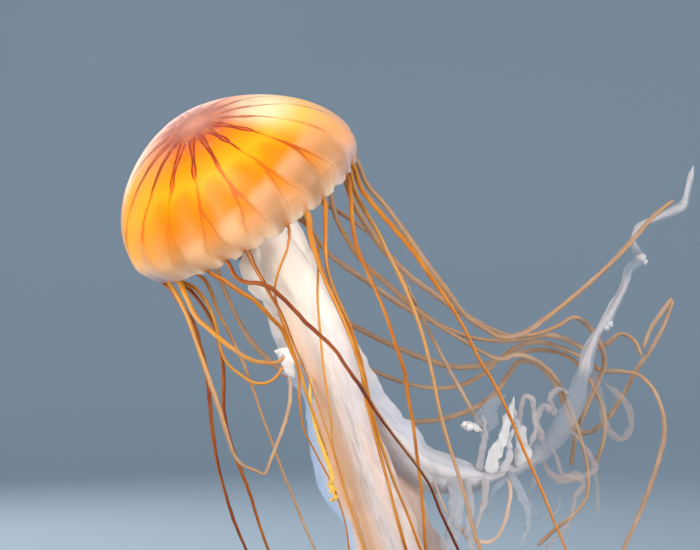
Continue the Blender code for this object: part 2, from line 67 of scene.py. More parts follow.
def add_node(tree, kind, inputs=(), stops=None, **settings):
    """Adds a node with its settings and links; stops fill a ramp or a curve. A second word in kind is the operation of
    a Math node, the data type of a Mix or the interpolation of a MapRange, whose inputs in order are its value, from,
    to, and what those two become."""
    kind, *mode = kind.split()
    made = tree.nodes.new("ShaderNode" + kind)
    if mode:
        setattr(made, {"Mix": "data_type", "MapRange": "interpolation_type"}.get(kind, "operation"), mode[0])
    for key, value in settings.items():
        setattr(made, key, value)
    plug(made, inputs)
    if stops and kind == "ValToRGB":
        ramp = made.color_ramp.elements
        while len(ramp) < len(stops):
            ramp.new(1.0)
        for element, (at, colour) in zip(ramp, stops):
            element.position = at
            element.color = linear(colour) if isinstance(colour, str) else (*colour, 1.0)
    elif stops:
        curve = made.mapping.curves[0].points
        while len(curve) < len(stops):
            curve.new(1.0, 1.0)
        for point, at in zip(curve, stops):
            point.location = at
        made.mapping.extend = "HORIZONTAL"
        made.mapping.update()
    return made


def finish_of(name, values):
    """A new material with these values on its shader's own sockets, the shader, and what adds nodes to it."""
    material = bpy.data.materials.new(name)
    material.use_nodes = True
    shader = material.node_tree.nodes["Principled BSDF"]
    plug(shader, values)
    return material, shader, functools.partial(add_node, material.node_tree)


coat, shader, add = finish_of("powder_coated_steel", {"IOR": 1.5, "Coat Weight": 0.15})
place = add("TexCoord").outputs["Object"]
mottle = add("TexNoise", {"Vector": place, "Scale": 28.0, "Detail": 5.0})
tint = add("ValToRGB", (mottle,), [(0.3, "#24272A"), (0.7, "#2F3337")])
gloss = add("MapRange", (mottle, 0.0, 1.0, 0.36, 0.5))
# Orange peel is about 0.8 mm from bump to bump, drawn at 1.5 mm so that it shows.
peel = add("TexNoise", {"Vector": place, "Scale": 650.0, "Detail": 2.0})
bump = add("Bump", {"Height": peel, "Strength": 0.35, "Distance": 0.0002})
plug(shader, {"Base Color": tint, "Roughness": gloss, "Normal": bump})
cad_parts["stand_base"].material_slots[0].material = coat


# Stand rod: 7 mm round bar of stainless steel, bent cold to follow the body and pressed into the boss. It is
# brushed along its length, so fine pale and dark lines run with it and its gloss is broken.

brushed, shader, add = finish_of("brushed_stainless_steel", {"Metallic": 1.0})
place = add("TexCoord").outputs["Object"]
# Brush lines are about 0.1 mm apart, drawn at 0.5 mm so that they show.
grain = add("Mapping", {"Vector": place, "Scale": (2000.0, 2000.0, 25.0)})
lines = add("TexNoise", {"Vector": grain, "Scale": 1.0, "Detail": 3.0})
tint = add("ValToRGB", (lines,), [(0.3, "#9C9EA0"), (0.7, "#C6C8CA")])
gloss = add("MapRange", (lines, 0.0, 1.0, 0.2, 0.42))
bump = add("Bump", {"Height": lines, "Strength": 0.2, "Distance": 0.00005})
plug(shader, {"Base Color": tint, "Roughness": gloss, "Normal": bump})
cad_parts["stand_rod"].material_slots[0].material = brushed


# Bell: a dome of clear jelly about 190 mm across and 7 mm thick, coloured from inside by 16 stomach pouches, with
# a soft margin of 32 lappets. It is one skin over the dome and the margin, cast smooth and slightly wet.

# In mm from the middle of the opening: the widest ring is at BELL_WIDEST, the dome and its cavity rise from there,
# and the margin curls in below it to the lappets' tips, where it is twice EDGE_HALF thick. The crown sits a little
# to the left. The powers give the dome straighter flanks than an ellipse has, and a margin that curls mostly at its
# edge.
BELL_RADIUS = 95.5
BELL_WIDEST = 11.0
BELL_RISE = 76.0
CROWN_SHIFT = -7.5
WALL = 7.0
CAVITY_RISE = 51.0
DOME_POWER = 1.13
LAPPETS = 32
LAPPET_TIP = -9.0
CLEFT = -5.1
EDGE_RADIUS = 84.0
EDGE_HALF = 0.6
CURL_POWER = 1.7
BELL_PLACE = Vector((-99.0, -62.0, 456.5))
BELL_TURN = Euler((math.radians(16), math.radians(-32), 0.0))
IN_BELL = Matrix.Translation(BELL_PLACE) @ BELL_TURN.to_matrix().to_4x4()


def dome(radius, rise, degrees):
    """(radius, height) on the dome at an angle down from its crown."""
    out, up = math.sin(math.radians(degrees)), math.cos(math.radians(degrees))
    return radius * max(0.0, out) ** DOME_POWER, BELL_WIDEST + rise * max(0.0, up) ** DOME_POWER


def margin_radius(height, top, edge):
    """How the margin curls in below the widest ring, down to the lappets' edge."""
    return top + (edge - top) * ((BELL_WIDEST - height) / (BELL_WIDEST - LAPPET_TIP)) ** CURL_POWER


def turned(profile, steps):
    """A new bmesh: a profile of (radius, height) points spun round the upright axis."""
    bm = bmesh.new()
    verts = [bm.verts.new((r, 0, h)) for r, h in profile]
    edges = [bm.edges.new(pair) for pair in zip(verts, verts[1:])]
    bmesh.ops.spin(bm, geom=verts + edges, cent=(0, 0, 0), axis=(0, 0, 1), angle=2 * math.pi, steps=steps,
                   use_merge=True, use_duplicate=False)
    return bm


def shown(bm, name, material):
    """Turns a bmesh into a smooth object in the scene."""
    mesh = bpy.data.meshes.new(name)
    bm.to_mesh(mesh)
    bm.free()
    mesh.shade_smooth()
    mesh.materials.append(material)
    made = bpy.data.objects.new(name, mesh)
    bpy.context.scene.collection.objects.link(made)
    return made


def piece_of(bm, name, material, nodes):
    """Closes up a piece made in mm, and gives it its name, finish and place in the frame."""
    bmesh.ops.remove_doubles(bm, verts=bm.verts, dist=1e-3)
    bmesh.ops.recalc_face_normals(bm, faces=bm.faces)
    bmesh.ops.scale(bm, vec=(0.001, 0.001, 0.001), verts=bm.verts)
    made = shown(bm, name, material)
    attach(made, "root")
    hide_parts(*nodes)


heights = [BELL_WIDEST - i for i in range(1, 21)]
profile = [dome(BELL_RADIUS, BELL_RISE, 1.5 * i) for i in range(61)]
profile += [(margin_radius(h, BELL_RADIUS, EDGE_RADIUS + EDGE_HALF), h) for h in heights]
profile += [(margin_radius(h, BELL_RADIUS - WALL, EDGE_RADIUS - EDGE_HALF), h) for h in reversed(heights)]
profile += [dome(BELL_RADIUS - WALL, CAVITY_RISE, 90 - 3 * i) for i in range(31)]
profile[0], profile[-1] = (0.0, profile[0][1]), (0.0, profile[-1][1])
bm = turned(profile, 12 * LAPPETS)
for v in bm.verts:
    r, h = v.co.xy.length, v.co.z
    if r < 0.5:
        continue  # The poles stay.
    turn = math.atan2(v.co.x, -v.co.y)
    grown = r
    if h < BELL_WIDEST:
        # Soft round lappets, 1 to 4 mm long, with a cleft where each tentacle or sense organ sits.
        outer = r > margin_radius(h, BELL_RADIUS - WALL / 2, EDGE_RADIUS)
        long = 2.6 + 1.8 * noise.noise(Vector((math.cos(turn) * 5, math.sin(turn) * 5, 0.0)))
        tip = CLEFT - long * (0.5 - 0.5 * math.cos(LAPPETS * turn)) ** 0.8
        v.co.z = BELL_WIDEST + (h - BELL_WIDEST) * (BELL_WIDEST - tip) / (BELL_WIDEST - LAPPET_TIP)
        top, edge = (0, EDGE_HALF) if outer else (WALL, -EDGE_HALF)
        grown = margin_radius(v.co.z, BELL_RADIUS - top, EDGE_RADIUS + edge)
        # The hem is ruffled by small waves and larger ones.
        low = (BELL_WIDEST - h) / (BELL_WIDEST - LAPPET_TIP)
        grown += low ** 3 * (0.7 * math.sin(96 * turn + 1.0) + 1.2 * math.sin(37 * turn))
    # Shallow grooves run down the 16 rays, and the pouches swell a little between them.
    grown *= 1 - 0.013 * math.cos(16 * turn + 0.8 * math.sin(turn)) * min(1.0, r / BELL_RADIUS) ** 3
    v.co.x *= grown / r
    v.co.y *= grown / r
for v in bm.verts:
    v.co.x += CROWN_SHIFT * v.co.z / (BELL_WIDEST + BELL_RISE)
bmesh.ops.transform(bm, matrix=IN_BELL, verts=bm.verts)

# Jelly: mesogloea, cast here in tinted translucent silicone. It scatters light a few mm deep and has a low, wet
# sheen. Dusky rose crown, amber and yellow belts over the pouches, peach skirt, and 16 fine rust-brown rays.
jelly, shader, add = finish_of("tinted_silicone_jelly", {"Roughness": 0.4, "IOR": 1.36, "Subsurface Weight": 0.3,
    "Subsurface Scale": 0.006, "Subsurface Radius": (1.0, 0.55, 0.3), "Specular IOR Level": 0.22,
    "Sheen Weight": 0.38, "Sheen Roughness": 0.3, "Sheen Tint": linear("#FFE0DC"), "Coat Weight": 0.08,
    "Coat Roughness": 0.25})
place = add("TexCoord").outputs["Object"]
# The bell's own axes: x to its right, y to its back, z along its axis to the crown, in metres.
own = add("Mapping", {"Vector": place, "Location": BELL_PLACE * 0.001, "Rotation": BELL_TURN}, vector_type="TEXTURE")
axes = add("SeparateXYZ", (own,))
height = axes.outputs["Z"]
climb = add("MapRange", (height, BELL_WIDEST * 0.001, (BELL_WIDEST + BELL_RISE) * 0.001))
# The pattern's pole stands 30 mm in front of the crown, and the skirt's centre is on the axis. Its rays wander over
# some 20 mm and its belts drift over some 45 mm.
unshift = add("Math MULTIPLY_ADD", (height, -CROWN_SHIFT / (BELL_WIDEST + BELL_RISE), axes.outputs["X"]))
sideways = add("Math MULTIPLY_ADD", (climb, -0.006, unshift))
forward = add("Math MULTIPLY_ADD", (climb, 0.03, axes.outputs["Y"]))
frontward = add("Math MULTIPLY", (forward, -1.0))
wander = add("TexNoise", {"Vector": own, "Scale": 45.0, "Detail": 2.0})
wobble = add("MapRange", (wander, 0.0, 1.0, -0.05, 0.05))
bare_turn = add("Math ARCTAN2", (sideways, frontward))
turn = add("Math ADD", (bare_turn, wobble))
across = add("CombineXYZ", (sideways, forward, 0.0))
reach = add("VectorMath LENGTH", (across,)).outputs["Value"]
flat_reach = add("Math DIVIDE", (reach, BELL_RADIUS * 0.001))
above = add("Math SUBTRACT", (height, BELL_WIDEST * 0.001))
flat_above = add("Math DIVIDE", (above, BELL_RISE * 0.001))
fall = add("Math ARCTAN2", (flat_reach, flat_above))
# The belt is 0 at the pole, 0.8 at the widest ring and about 1 at the lappets.
belt = add("Math MULTIPLY", (fall, 0.8 / (math.pi / 2)))
cloud = add("TexNoise", {"Vector": own, "Scale": 22.0, "Detail": 1.0})
drift = add("MapRange", (cloud, 0.0, 1.0, -0.035, 0.035))
soft_belt = add("Math ADD", (belt, drift))
# Side ramps: paler than the front ramp, as painted rim light. The right one holds a painted cream highlight high on
# the belt, and both end in a painted blue-white rim glow at the hem.
right = add("ValToRGB", (soft_belt,), [(0.0, "#D49078"), (0.08, "#B87664"), (0.15, "#D08C74"), (0.22, "#F4C8A0"),
    (0.34, "#FFE8B4"), (0.44, "#FFD488"), (0.52, "#FFC454"), (0.6, "#FFB85C"), (0.7, "#FFB46C"), (0.79, "#F8B484"),
    (0.86, "#E8C0B4"), (0.93, "#DCD0E4"), (1.0, "#D0D4F4")])
left = add("ValToRGB", (soft_belt,), [(0.0, "#D49078"), (0.08, "#AC6A5A"), (0.15, "#C07258"), (0.22, "#E89054"),
    (0.34, "#FFA634"), (0.44, "#FFAC28"), (0.54, "#FFB02C"), (0.64, "#FFAA38"), (0.73, "#FFB054"), (0.79, "#FFBE7C"),
    (0.84, "#F4C6A8"), (0.89, "#D8C8D4"), (0.95, "#BCCCF4")])
# The belts differ from side to side: facing is 1 at the front and back, and rightness is 1 on the right. The side
# ramps are painted paler than the front as painted rim light, where light scatters through the jelly near the outline.
cosine = add("Math COSINE", (bare_turn,))
sine = add("Math SINE", (bare_turn,))
swing = add("Math MULTIPLY", (cosine, cosine))
facing = add("MapRange SMOOTHSTEP", (swing, 0.05, 0.6))
rightness = add("MapRange SMOOTHSTEP", (sine, -0.3, 0.3))
# Rays, from the front to the right: where each one's two dark lines meet on the belt, how far apart they start,
# and how dark it is on the skirt.
RAYS = [(0.50, 0.5, 0.8), (0.30, 0.9, 0.7), (0.35, 0.9, 1.0), (0.30, 0.6, 0.6), (0.27, 0.6, 1.0), (0.25, 0.8, 0.7),
    (0.26, 0.7, 0.9), (0.32, 0.6, 0.6), (0.40, 0.9, 0.8), (0.33, 0.7, 0.6), (0.47, 0.6, 0.9), (0.38, 0.8, 0.5),
    (0.50, 0.6, 0.5), (0.66, 0.3, 0.3), (0.46, 0.8, 0.35), (0.42, 0.75, 0.7)]
pulled = add("Math MULTIPLY_ADD", (sine, 0.105, turn))
evened = add("Math MULTIPLY_ADD", (cosine, 0.052, pulled))
spokes = add("Math MULTIPLY_ADD", (evened, 8 / math.pi, -0.052 * 8 / math.pi))
spoke = add("Math ROUND", (spokes,))
beside = add("Math SUBTRACT", (spokes, spoke))
off = add("Math ABSOLUTE", (beside,))
# The amber runs down along each ray, and the pale lobes of the skirt reach up between them.
tongue = add("MapRange SMOOTHSTEP", (off, 0.0, 0.5, -0.055, 0.035))
down = add("FloatCurve", {"Value": belt}, [(0.0, 0.0), (0.38, 0.0), (0.58, 1.0), (0.7, 0.8), (0.8, 0.4), (0.9, 0.0)])
scalloped = add("Math MULTIPLY_ADD", (tongue, down, soft_belt))
front = add("ValToRGB", (scalloped,), [(0.0, "#D49078"), (0.08, "#AC6A58"), (0.13, "#B8603C"), (0.18, "#E87022"),
    (0.25, "#FA8206"), (0.34, "#FF9604"), (0.43, "#FFA60E"), (0.5, "#FC8E02"), (0.57, "#F48206"), (0.64, "#E68014"),
    (0.71, "#D6863A"), (0.79, "#D0925C"), (0.86, "#E0AC80"), (0.92, "#F2D0B0"), (1.0, "#ECE0E6")])
# Painted rim light: the paler side ramps take over away from the front and back.
side = add("Mix RGBA", (rightness, left, right))
belts = add("Mix RGBA", (facing, side, front))
number = add("Math FLOORED_MODULO", (spoke, 16.0))
pick = add("Math MULTIPLY", (number, 1 / 16))
stops = [(max(0.0, (i - 0.5) / 16), ray) for i, ray in enumerate(RAYS)]
ray = add("ValToRGB", (pick,), stops)
ray.color_ramp.interpolation = "CONSTANT"
facts = add("SeparateColor", (ray,))
# The two lines start up to 8 degrees either side of the ray, draw in to a waist and close at a point; on the
# skirt one line starts dark and parts again.
ahead = add("Math SUBTRACT", (facts.outputs[0], belt))
share = add("Math DIVIDE", (belt, facts.outputs[0]))
bow = add("FloatCurve", {"Value": share}, [(0.0, 1.0), (0.25, 0.9), (0.5, 0.42), (0.68, 0.2), (0.82, 0.3),
    (0.93, 0.18), (1.0, 0.0)])
spread = add("Math MULTIPLY", (bow, facts.outputs[1]))
parting = add("MapRange", (belt, 0.575, 0.86, 0.0, 0.27))
half = add("Math MULTIPLY_ADD", (spread, 0.36, parting))
miss = add("Math ABSOLUTE", (add("Math SUBTRACT", (off, half)),))
# One spoke is 22.5 degrees, so the miss becomes metres along the skin.
arc = add("Math MULTIPLY", (reach, math.pi / 8))
miss_metres = add("Math MULTIPLY", (miss, arc))
breadth = add("FloatCurve", {"Value": belt}, [(0.0, 0.9), (0.14, 0.62), (0.3, 0.42), (0.42, 0.4), (0.52, 0.6),
    (0.6, 0.75), (0.7, 0.5), (1.0, 0.4)])
breadth_metres = add("Math MULTIPLY", (breadth, 0.0034))
core = add("Math MULTIPLY", (breadth_metres, 0.25))
line = add("MapRange SMOOTHSTEP", (miss_metres, breadth_metres, core))
weight = add("FloatCurve", {"Value": belt}, [(0.0, 0.0), (0.05, 0.0), (0.1, 0.3), (0.17, 0.85), (0.32, 1.0),
    (0.38, 0.9), (0.43, 0.4), (0.49, 0.85), (0.58, 0.95), (0.64, 0.75), (0.72, 0.55), (0.81, 0.4), (0.88, 0.0),
    (1.0, 0.0)])
skirt = add("MapRange", (belt, 0.44, 0.5))
fade = add("Mix FLOAT", (skirt, 1.0, facts.outputs[2]))
lee = add("Math MULTIPLY", (rightness, add("Math SUBTRACT", (1.0, facing))))
paler = add("MapRange", (lee, 0.0, 1.0, 1.0, 0.65))
drawn = add("Math MULTIPLY", (add("Math MULTIPLY", (line, weight)), fade))
ink = add("Math MULTIPLY", (drawn, paler))
ink_colour = add("ValToRGB", (belt,), [(0.0, "#A0645C"), (0.12, "#84382A"), (0.3, "#8E2E10"), (0.4, "#A84208"),
    (0.48, "#C45008"), (0.58, "#B84A0C"), (0.68, "#9C5220"), (0.8, "#A46C44")])
# Orange-red lies between the two lines, and a dark orange wedge in the fork where they part on the skirt.
within = add("Math SUBTRACT", (half, off))
inside = add("MapRange SMOOTHSTEP", (within, -0.03, 0.03))
upper = add("MapRange", (ahead, -0.01, 0.04, 0.0, 0.75))
away = add("MapRange", (belt, 0.07, 0.2))
upper = add("Math MULTIPLY", (upper, away))
fork = add("FloatCurve", {"Value": belt}, [(0.0, 0.0), (0.52, 0.0), (0.57, 0.8), (0.63, 0.7), (0.76, 0.0),
    (1.0, 0.0)])
lower = add("Math MULTIPLY", (fork, facts.outputs[2]))
filled = add("Mix RGBA", (add("Math MULTIPLY", (inside, upper)), belts, linear("#EC5C22")))
forked = add("Mix RGBA", (add("Math MULTIPLY", (inside, lower)), filled, linear("#E07C10")))
# The lobes of the skirt between the forks are greyer, where the jelly is thick and clear: partly the jelly's own tone
# and partly painted shade, which is weaker at the sides and darker on the right, away from the key light.
between = add("MapRange SMOOTHSTEP", (within, 0.03, -0.17))
level = add("Math MULTIPLY_ADD", (sine, 0.11, soft_belt))
lobes = add("FloatCurve", {"Value": level}, [(0.0, 0.0), (0.64, 0.0), (0.74, 0.75), (0.88, 0.7), (1.0, 0.0)])
faced = add("MapRange", (facing, 0.0, 1.0, 0.3))
thick = add("Math MULTIPLY", (add("Math MULTIPLY", (between, lobes)), faced))
lobe_shade_ramp = add("ValToRGB", (level,), [(0.66, "#EEB488"), (0.8, "#A87A54"), (0.9, "#9C6E4A")])
lobe_tone_and_shade = add("Mix RGBA", (rightness, linear("#E0AC7C"), lobe_shade_ramp))
lobe_shaded = add("Mix RGBA", (thick, forked, lobe_tone_and_shade))
inked = add("Mix RGBA", (ink, lobe_shaded, ink_colour))
# The clefts that hold a tentacle are stained orange. Pale warts dot the crown, at a fifth of the points of a 4 mm
# pattern, and it is mottled over some 8 mm.
true_turn = add("Math ARCTAN2", (unshift, add("Math MULTIPLY", (axes.outputs["Y"], -1.0))))
eight, rim = [add("Math COSINE", (add("Math MULTIPLY", (true_turn, n)),)) for n in (8.0, 32.0)]
cleft = add("MapRange SMOOTHSTEP", (rim, 0.2, 1.0))
rooted = add("MapRange", (eight, 0.9, 0.1))
low = add("MapRange", (height, 0.006, -0.004, 0.0, 0.75))
stain = add("Math MULTIPLY", (add("Math MULTIPLY", (cleft, rooted)), low))
stained = add("Mix RGBA", (stain, inked, linear("#D07A30")))
dots = add("TexVoronoi", {"Vector": own, "Scale": 240.0})
dot = add("MapRange", (dots.outputs["Distance"], 0.14, 0.08))
few = add("Math GREATER_THAN", (add("SeparateColor", (dots.outputs["Color"],)).outputs[0], 0.8))
crown = add("MapRange", (belt, 0.35, 0.1, 0.0, 0.7))
speck = add("Math MULTIPLY", (add("Math MULTIPLY", (dot, few)), crown))
mottle = add("TexNoise", {"Vector": own, "Scale": 120.0, "Detail": 3.0})
mottled = add("Math MULTIPLY", (add("MapRange", (mottle, 0.5, 0.75)), crown))
warmed = add("Mix RGBA", (mottled, stained, linear("#D8865C")))
specked = add("Mix RGBA", (speck, warmed, linear("#FFEDE0")))
# The lappets are crinkled, with creases about 6 mm apart, and a painted highlight whitens the creases where they would
# catch the light.
drawn_out = add("VectorMath MULTIPLY", (own, (1.0, 1.0, 0.15)))
crinkle = add("TexNoise", {"Vector": drawn_out, "Scale": 160.0, "Detail": 2.0})
lappet = add("MapRange", (belt, 0.82, 0.96, 0.0, 0.4))
crease = add("MapRange", (crinkle, 0.5, 0.8))
crease_highlight = add("Math MULTIPLY", (lappet, crease))
crease_highlighted = add("Mix RGBA", (crease_highlight, specked, linear("#FFF4EC")))
# At either side the lappets are thin enough to see through.
hem = add("MapRange", (belt, 0.82, 0.93))
aside = add("MapRange", (facing, 0.0, 1.0, 0.6, 0.15))
veil = add("Math MULTIPLY_ADD", (add("Math MULTIPLY", (hem, aside)), -1.0, 1.0))
# Fine ripples 6 mm apart run all over the skin, and the lappets' creases are deeper.
ripple = add("TexNoise", {"Vector": own, "Scale": 160.0, "Detail": 4.0})
pitted = add("Bump", {"Height": ripple, "Strength": 0.25, "Distance": 0.0006})
folds = add("Math MULTIPLY", (crinkle, lappet))
bump = add("Bump", {"Height": folds, "Normal": pitted, "Strength": 0.6, "Distance": 0.002})
plug(shader, {"Base Color": crease_highlighted, "Alpha": veil, "Normal": bump})
piece_of(bm, "bell_skin", jelly, ["bell_dome", "bell_margin"])


# Mouth stalk and oral arms: a four-cornered stalk hangs from the bell's roof and parts into four long arms, each
# a thick rib with thin frilled wings. Cast in milky silicone, creamy on the ribs and bluish where it is thin, with a
# painted creamy glow near the mouth.

IN_BODY = Matrix.Translation((-62.0, -62.0, 0.0))


def bell_place(degrees, radius, height):
    """A point of the bell, in mm in the body's own frame; degrees count from the front to the right."""
    a = math.radians(degrees)
    shift = CROWN_SHIFT * height / (BELL_WIDEST + BELL_RISE)
    return IN_BODY.inverted() @ IN_BELL @ Vector((radius * math.sin(a) + shift, -radius * math.cos(a), height))


def through(places, per_span):
    """A smooth curve through the places: a centripetal Catmull-Rom spline."""
    ends = [places[0] * 2 - places[1], *places, places[-1] * 2 - places[-2]]
    points = []
    for p0, p1, p2, p3 in zip(ends, ends[1:], ends[2:], ends[3:]):
        t1 = (p1 - p0).length ** 0.5
        t2 = t1 + (p2 - p1).length ** 0.5
        t3 = t2 + (p3 - p2).length ** 0.5
        for i in range(per_span):
            t = t1 + (t2 - t1) * i / per_span
            a1 = p0.lerp(p1, t / t1)
            a2 = p1.lerp(p2, (t - t1) / (t2 - t1))
            a3 = p2.lerp(p3, (t - t2) / (t3 - t2))
            b1 = a1.lerp(a2, t / t2)
            b2 = a2.lerp(a3, (t - t1) / (t3 - t1))
            points.append(b1.lerp(b2, (t - t1) / (t2 - t1)))
    return points + [places[-1]]


def even_steps(places, knots, step):
    """Even steps along a smooth curve through the places: (point, run, direction, values between the knots)."""
    per_span = 12
    route = through(places, per_span)
    run = [0.0]
    for a, b in zip(route, route[1:]):
        run.append(run[-1] + (b - a).length)
    count = max(4, round(run[-1] / step))
    out, j = [], 0
    for i in range(count + 1):
        at = run[-1] * i / count
        while j < len(run) - 2 and run[j + 1] < at:
            j += 1
        share = (at - run[j]) / (run[j + 1] - run[j])
        ahead = (route[min(j + 4, len(route) - 1)] - route[max(j - 3, 0)]).normalized()
        m, t = divmod(min(j + share, len(route) - 1.001) / per_span, 1)
        t = t * t * (3 - 2 * t)
        values = [a + (b - a) * t for a, b in zip(knots[int(m)], knots[int(m) + 1])]
        out.append((route[j].lerp(route[j + 1], share), at, ahead, values))
    return out


# What each point of a tube knows: mm along it, -1 to 1 across it, how blushed it is (1 is peach, 2 yolk yellow, below
# 0 white) and how glassy.
FACTS = ("run", "edge", "blush", "clear")


def wrapped(bm, rings, around, shape):
    """Adds a closed tube: shape(i, a) gives ring i's point at the angle a, then its FACTS."""
    layers = [bm.verts.layers.float.get(n) or bm.verts.layers.float.new(n) for n in FACTS]
    sheet = bmesh.ops.create_grid(bm, x_segments=around, y_segments=rings, size=1.0)["verts"]
    for v in sheet:
        point, *facts = shape(round((v.co.y + 1) / 2 * rings), (v.co.x + 1) * math.pi)
        v.co = point
        for layer, fact in zip(layers, facts):
            v[layer] = fact
    # Only the seam is merged. A larger distance would merge across the finest tips.
    bmesh.ops.remove_doubles(bm, verts=sheet, dist=0.0005)
    bmesh.ops.holes_fill(bm, edges=[e for e in bm.edges if e.is_boundary], sides=0)


def bump_at(x, middle, width):
    """A soft bump of height 1."""
    return math.exp(-(((x - middle) / width) ** 2))


def frilled(bm, places, knots, ruffle, pitch, seed, bands=(), clear=(0.0, 0.0, ()), ridges=(), cup=0.16,
            lace=0.1, step=1.6, around=56):
    """A flattened tube with a thick rib and thin, waved wings, in mm along it. Knots are width and thickness.
    Across it, -1 is the edge of the left wing and 1 that of the right one.
    bands: strips of blush (across, half width, from, to, strength).
    clear: how glassy the left wing and the right wing are, and stretches glassy right across (from, to, strength).
    ridges: raised folds (across, half width, from, to, height).
    cup: how far the wings curl to the back. lace: how ragged the edges are."""
    line = even_steps(places, knots, step)
    total = line[-1][1]

    def shape(i, a):
        centre, s, along, (width, thick) = line[i]
        side = along.cross(Vector((0, 1, 0))).normalized()
        face = side.cross(along).normalized()
        v, u = math.cos(a), math.sin(a)
        wing = abs(v)
        turn = seed + (2.1 if v > 0 else 0.0)
        # The wave grows from the mouth and is strongest at the edges; the rib has low folds along it.
        slow, quick, fine = [noise.noise(Vector((s * f, turn * 3, f))) for f in (0.02, 1.2 / pitch, 3.4 / pitch)]
        grow = min(1.0, 0.2 + s / total)
        wave = ruffle * grow * (wing ** 2.5 * (0.6 * math.sin(6.28 * s / pitch + turn + 5 * slow) + 1.4 * quick)
                                + 1.0 * wing ** 5 * fine)
        fold = grow * min(1.0, width / 20) * (0.5 * math.sin(5 * v + 3 * slow + seed)
                                              + 0.3 * math.sin(11 * v + seed * 2 + 4 * slow))
        lip = 1 + lace * grow * wing ** 2 * (2.0 * quick + 0.8 * fine)
        near = 0.5 - 0.5 * u
        rise = sum(h * bump_at(v, m + 0.1 * slow, w) * min(1.0, max(0.0, (s - b) / 15), max(0.0, (e - s) / 15))
                   for m, w, b, e, h in ridges)
        # The wings thin out to 0.7 mm, and both ends close.
        body = thick / 2 * (1 - wing ** 2.2) + 0.35
        close = max(0.02, min(1.0, ((total - s) / 6) ** 0.5, 0.4 + s / 4))
        deep = body * max(-1.0, min(1.0, 2.5 * u)) + wave + fold * (1 - wing) - rise * near + cup * width * v * v
        out = centre + side * (width / 2 * v * lip * close) + face * (deep * close)
        blush = sum(k * bump_at(v, m, w) * min(1.0, max(0.0, (s - b) / 30), max(0.0, (e - s) / 30))
                    for m, w, b, e, k in bands)
        glass = max([clear[0 if v < 0 else 1] * max(0.0, min(1.0, (wing - 0.25) / 0.5, (s / total - 0.2) * 5))]
                    + [k * max(0.0, min(1.0, (s - b) / 15, (e - s) / 15)) for b, e, k in clear[2]])
        return out, s, v, blush, glass

    wrapped(bm, len(line) - 1, around, shape)


# Each arm, in mm: the angle at which it leaves the mouth, its wave, the wave's pitch, how ragged it is, its blush,
# its glassy parts, its ridges, and the places it passes (x, y, z) with its width and thickness there.
ARMS = [
    (0.0, 2.2, 26.0, 0.1,
     [(-0.9, 0.45, 30, 420, 1.0), (0.8, 0.25, 60, 200, 0.3), (0.9, 0.35, 170, 420, 0.7), (0.3, 0.2, 190, 400, 0.3)],
     (0.0, 0.15, ()),
     [(-0.15, 0.16, 70, 190, 1.6), (-0.35, 0.08, 150, 245, 2.4), (-0.08, 0.07, 165, 260, 1.8),
      (0.4, 0.1, 200, 360, 1.2), (-0.7, 0.1, 200, 380, 1.2)],
     [(-6, -10, 402, 38, 10), (14, -10, 362, 40, 11), (30, -6, 322, 38, 10), (43, -1, 282, 35, 9),
      (57, 4, 242, 38, 8), (72, 9, 201, 43, 7), (88, 17, 157, 42, 6), (106, 28, 115, 30, 5), (124, 42, 79, 10, 3)]),
    (90.0, 2.4, 30.0, 0.25, [(-0.8, 0.4, 60, 300, 0.5), (0.1, 0.4, 310, 480, 0.3), (-0.6, 0.4, 350, 450, 0.6)],
     (0.5, 0.35, [(362, 455, 1.2), (526, 572, 0.9)]), [(0.1, 0.2, 90, 300, 1.6)],
     [(5, 10, 404, 24, 9), (23, 14, 366, 26, 9), (43, 22, 325, 29, 8), (66, 33, 286, 35, 8), (96, 46, 258, 37, 7),
      (127, 58, 248, 25, 6), (152, 69, 250, 14, 5), (174, 79, 258, 14, 5), (190, 84, 268, 15, 5),
      (206, 89, 285, 17, 5), (217, 94, 306, 17, 4), (224, 99, 326, 14, 4), (229, 103, 343, 10, 4),
      (235, 106, 357, 7, 4), (243, 108, 369, 10, 4), (250, 110, 380, 7, 3), (258, 112, 395, 6, 3),
      (263, 114, 410, 7, 3), (272, 117, 419, 10, 4), (269, 119, 428, 6, 3), (267, 121, 437, 3, 2),
      (273, 123, 446, 6, 2), (287, 125, 452, 5, 2), (300, 127, 458, 7, 2), (309, 129, 463, 8, 2),
      (312, 130, 474, 6, 2), (315, 131, 485, 5, 2), (318, 132, 496, 2, 1)]),
    (180.0, 2.8, 24.0, 0.15, [(0.4, 0.9, 60, 400, 0.7)], (0.4, 0.0, ()), [(0.0, 0.2, 60, 350, 1.5)],
     [(-2, 36, 396, 24, 8), (20, 42, 350, 26, 8), (42, 46, 309, 28, 8), (60, 50, 270, 34, 7), (77, 55, 231, 33, 7),
      (97, 64, 193, 27, 6), (119, 76, 152, 18, 5), (139, 88, 112, 12, 4), (157, 98, 80, 5, 3)]),
    (270.0, 2.4, 28.0, 0.12, [(0.2, 0.5, 30, 330, 1.0), (0.7, 0.35, 100, 420, 0.8)], (0.7, 0.0, ()),
     [(-0.2, 0.15, 60, 200, 1.0)],
     [(-20, 16, 398, 26, 8), (-6, 20, 357, 26, 8), (11, 23, 317, 21, 7), (20, 25, 280, 28, 6), (29, 27, 245, 29, 5),
      (43, 29, 213, 17, 5), (49, 30, 178, 17, 5), (56, 34, 138, 13, 4), (67, 42, 104, 5, 3)]),
]
bm = bmesh.new()
for k, (degrees, ruffle, pitch, lace, bands, clear, ridges, row) in enumerate(ARMS):
    places = [bell_place(degrees, 9, 20), bell_place(degrees, 12, -20)] + [Vector(s[:3]) for s in row]
    frilled(bm, places, [(20, 9), (22, 10)] + [s[3:] for s in row], ruffle, pitch, 1.3 * k, bands, clear, ridges,
            lace=lace)
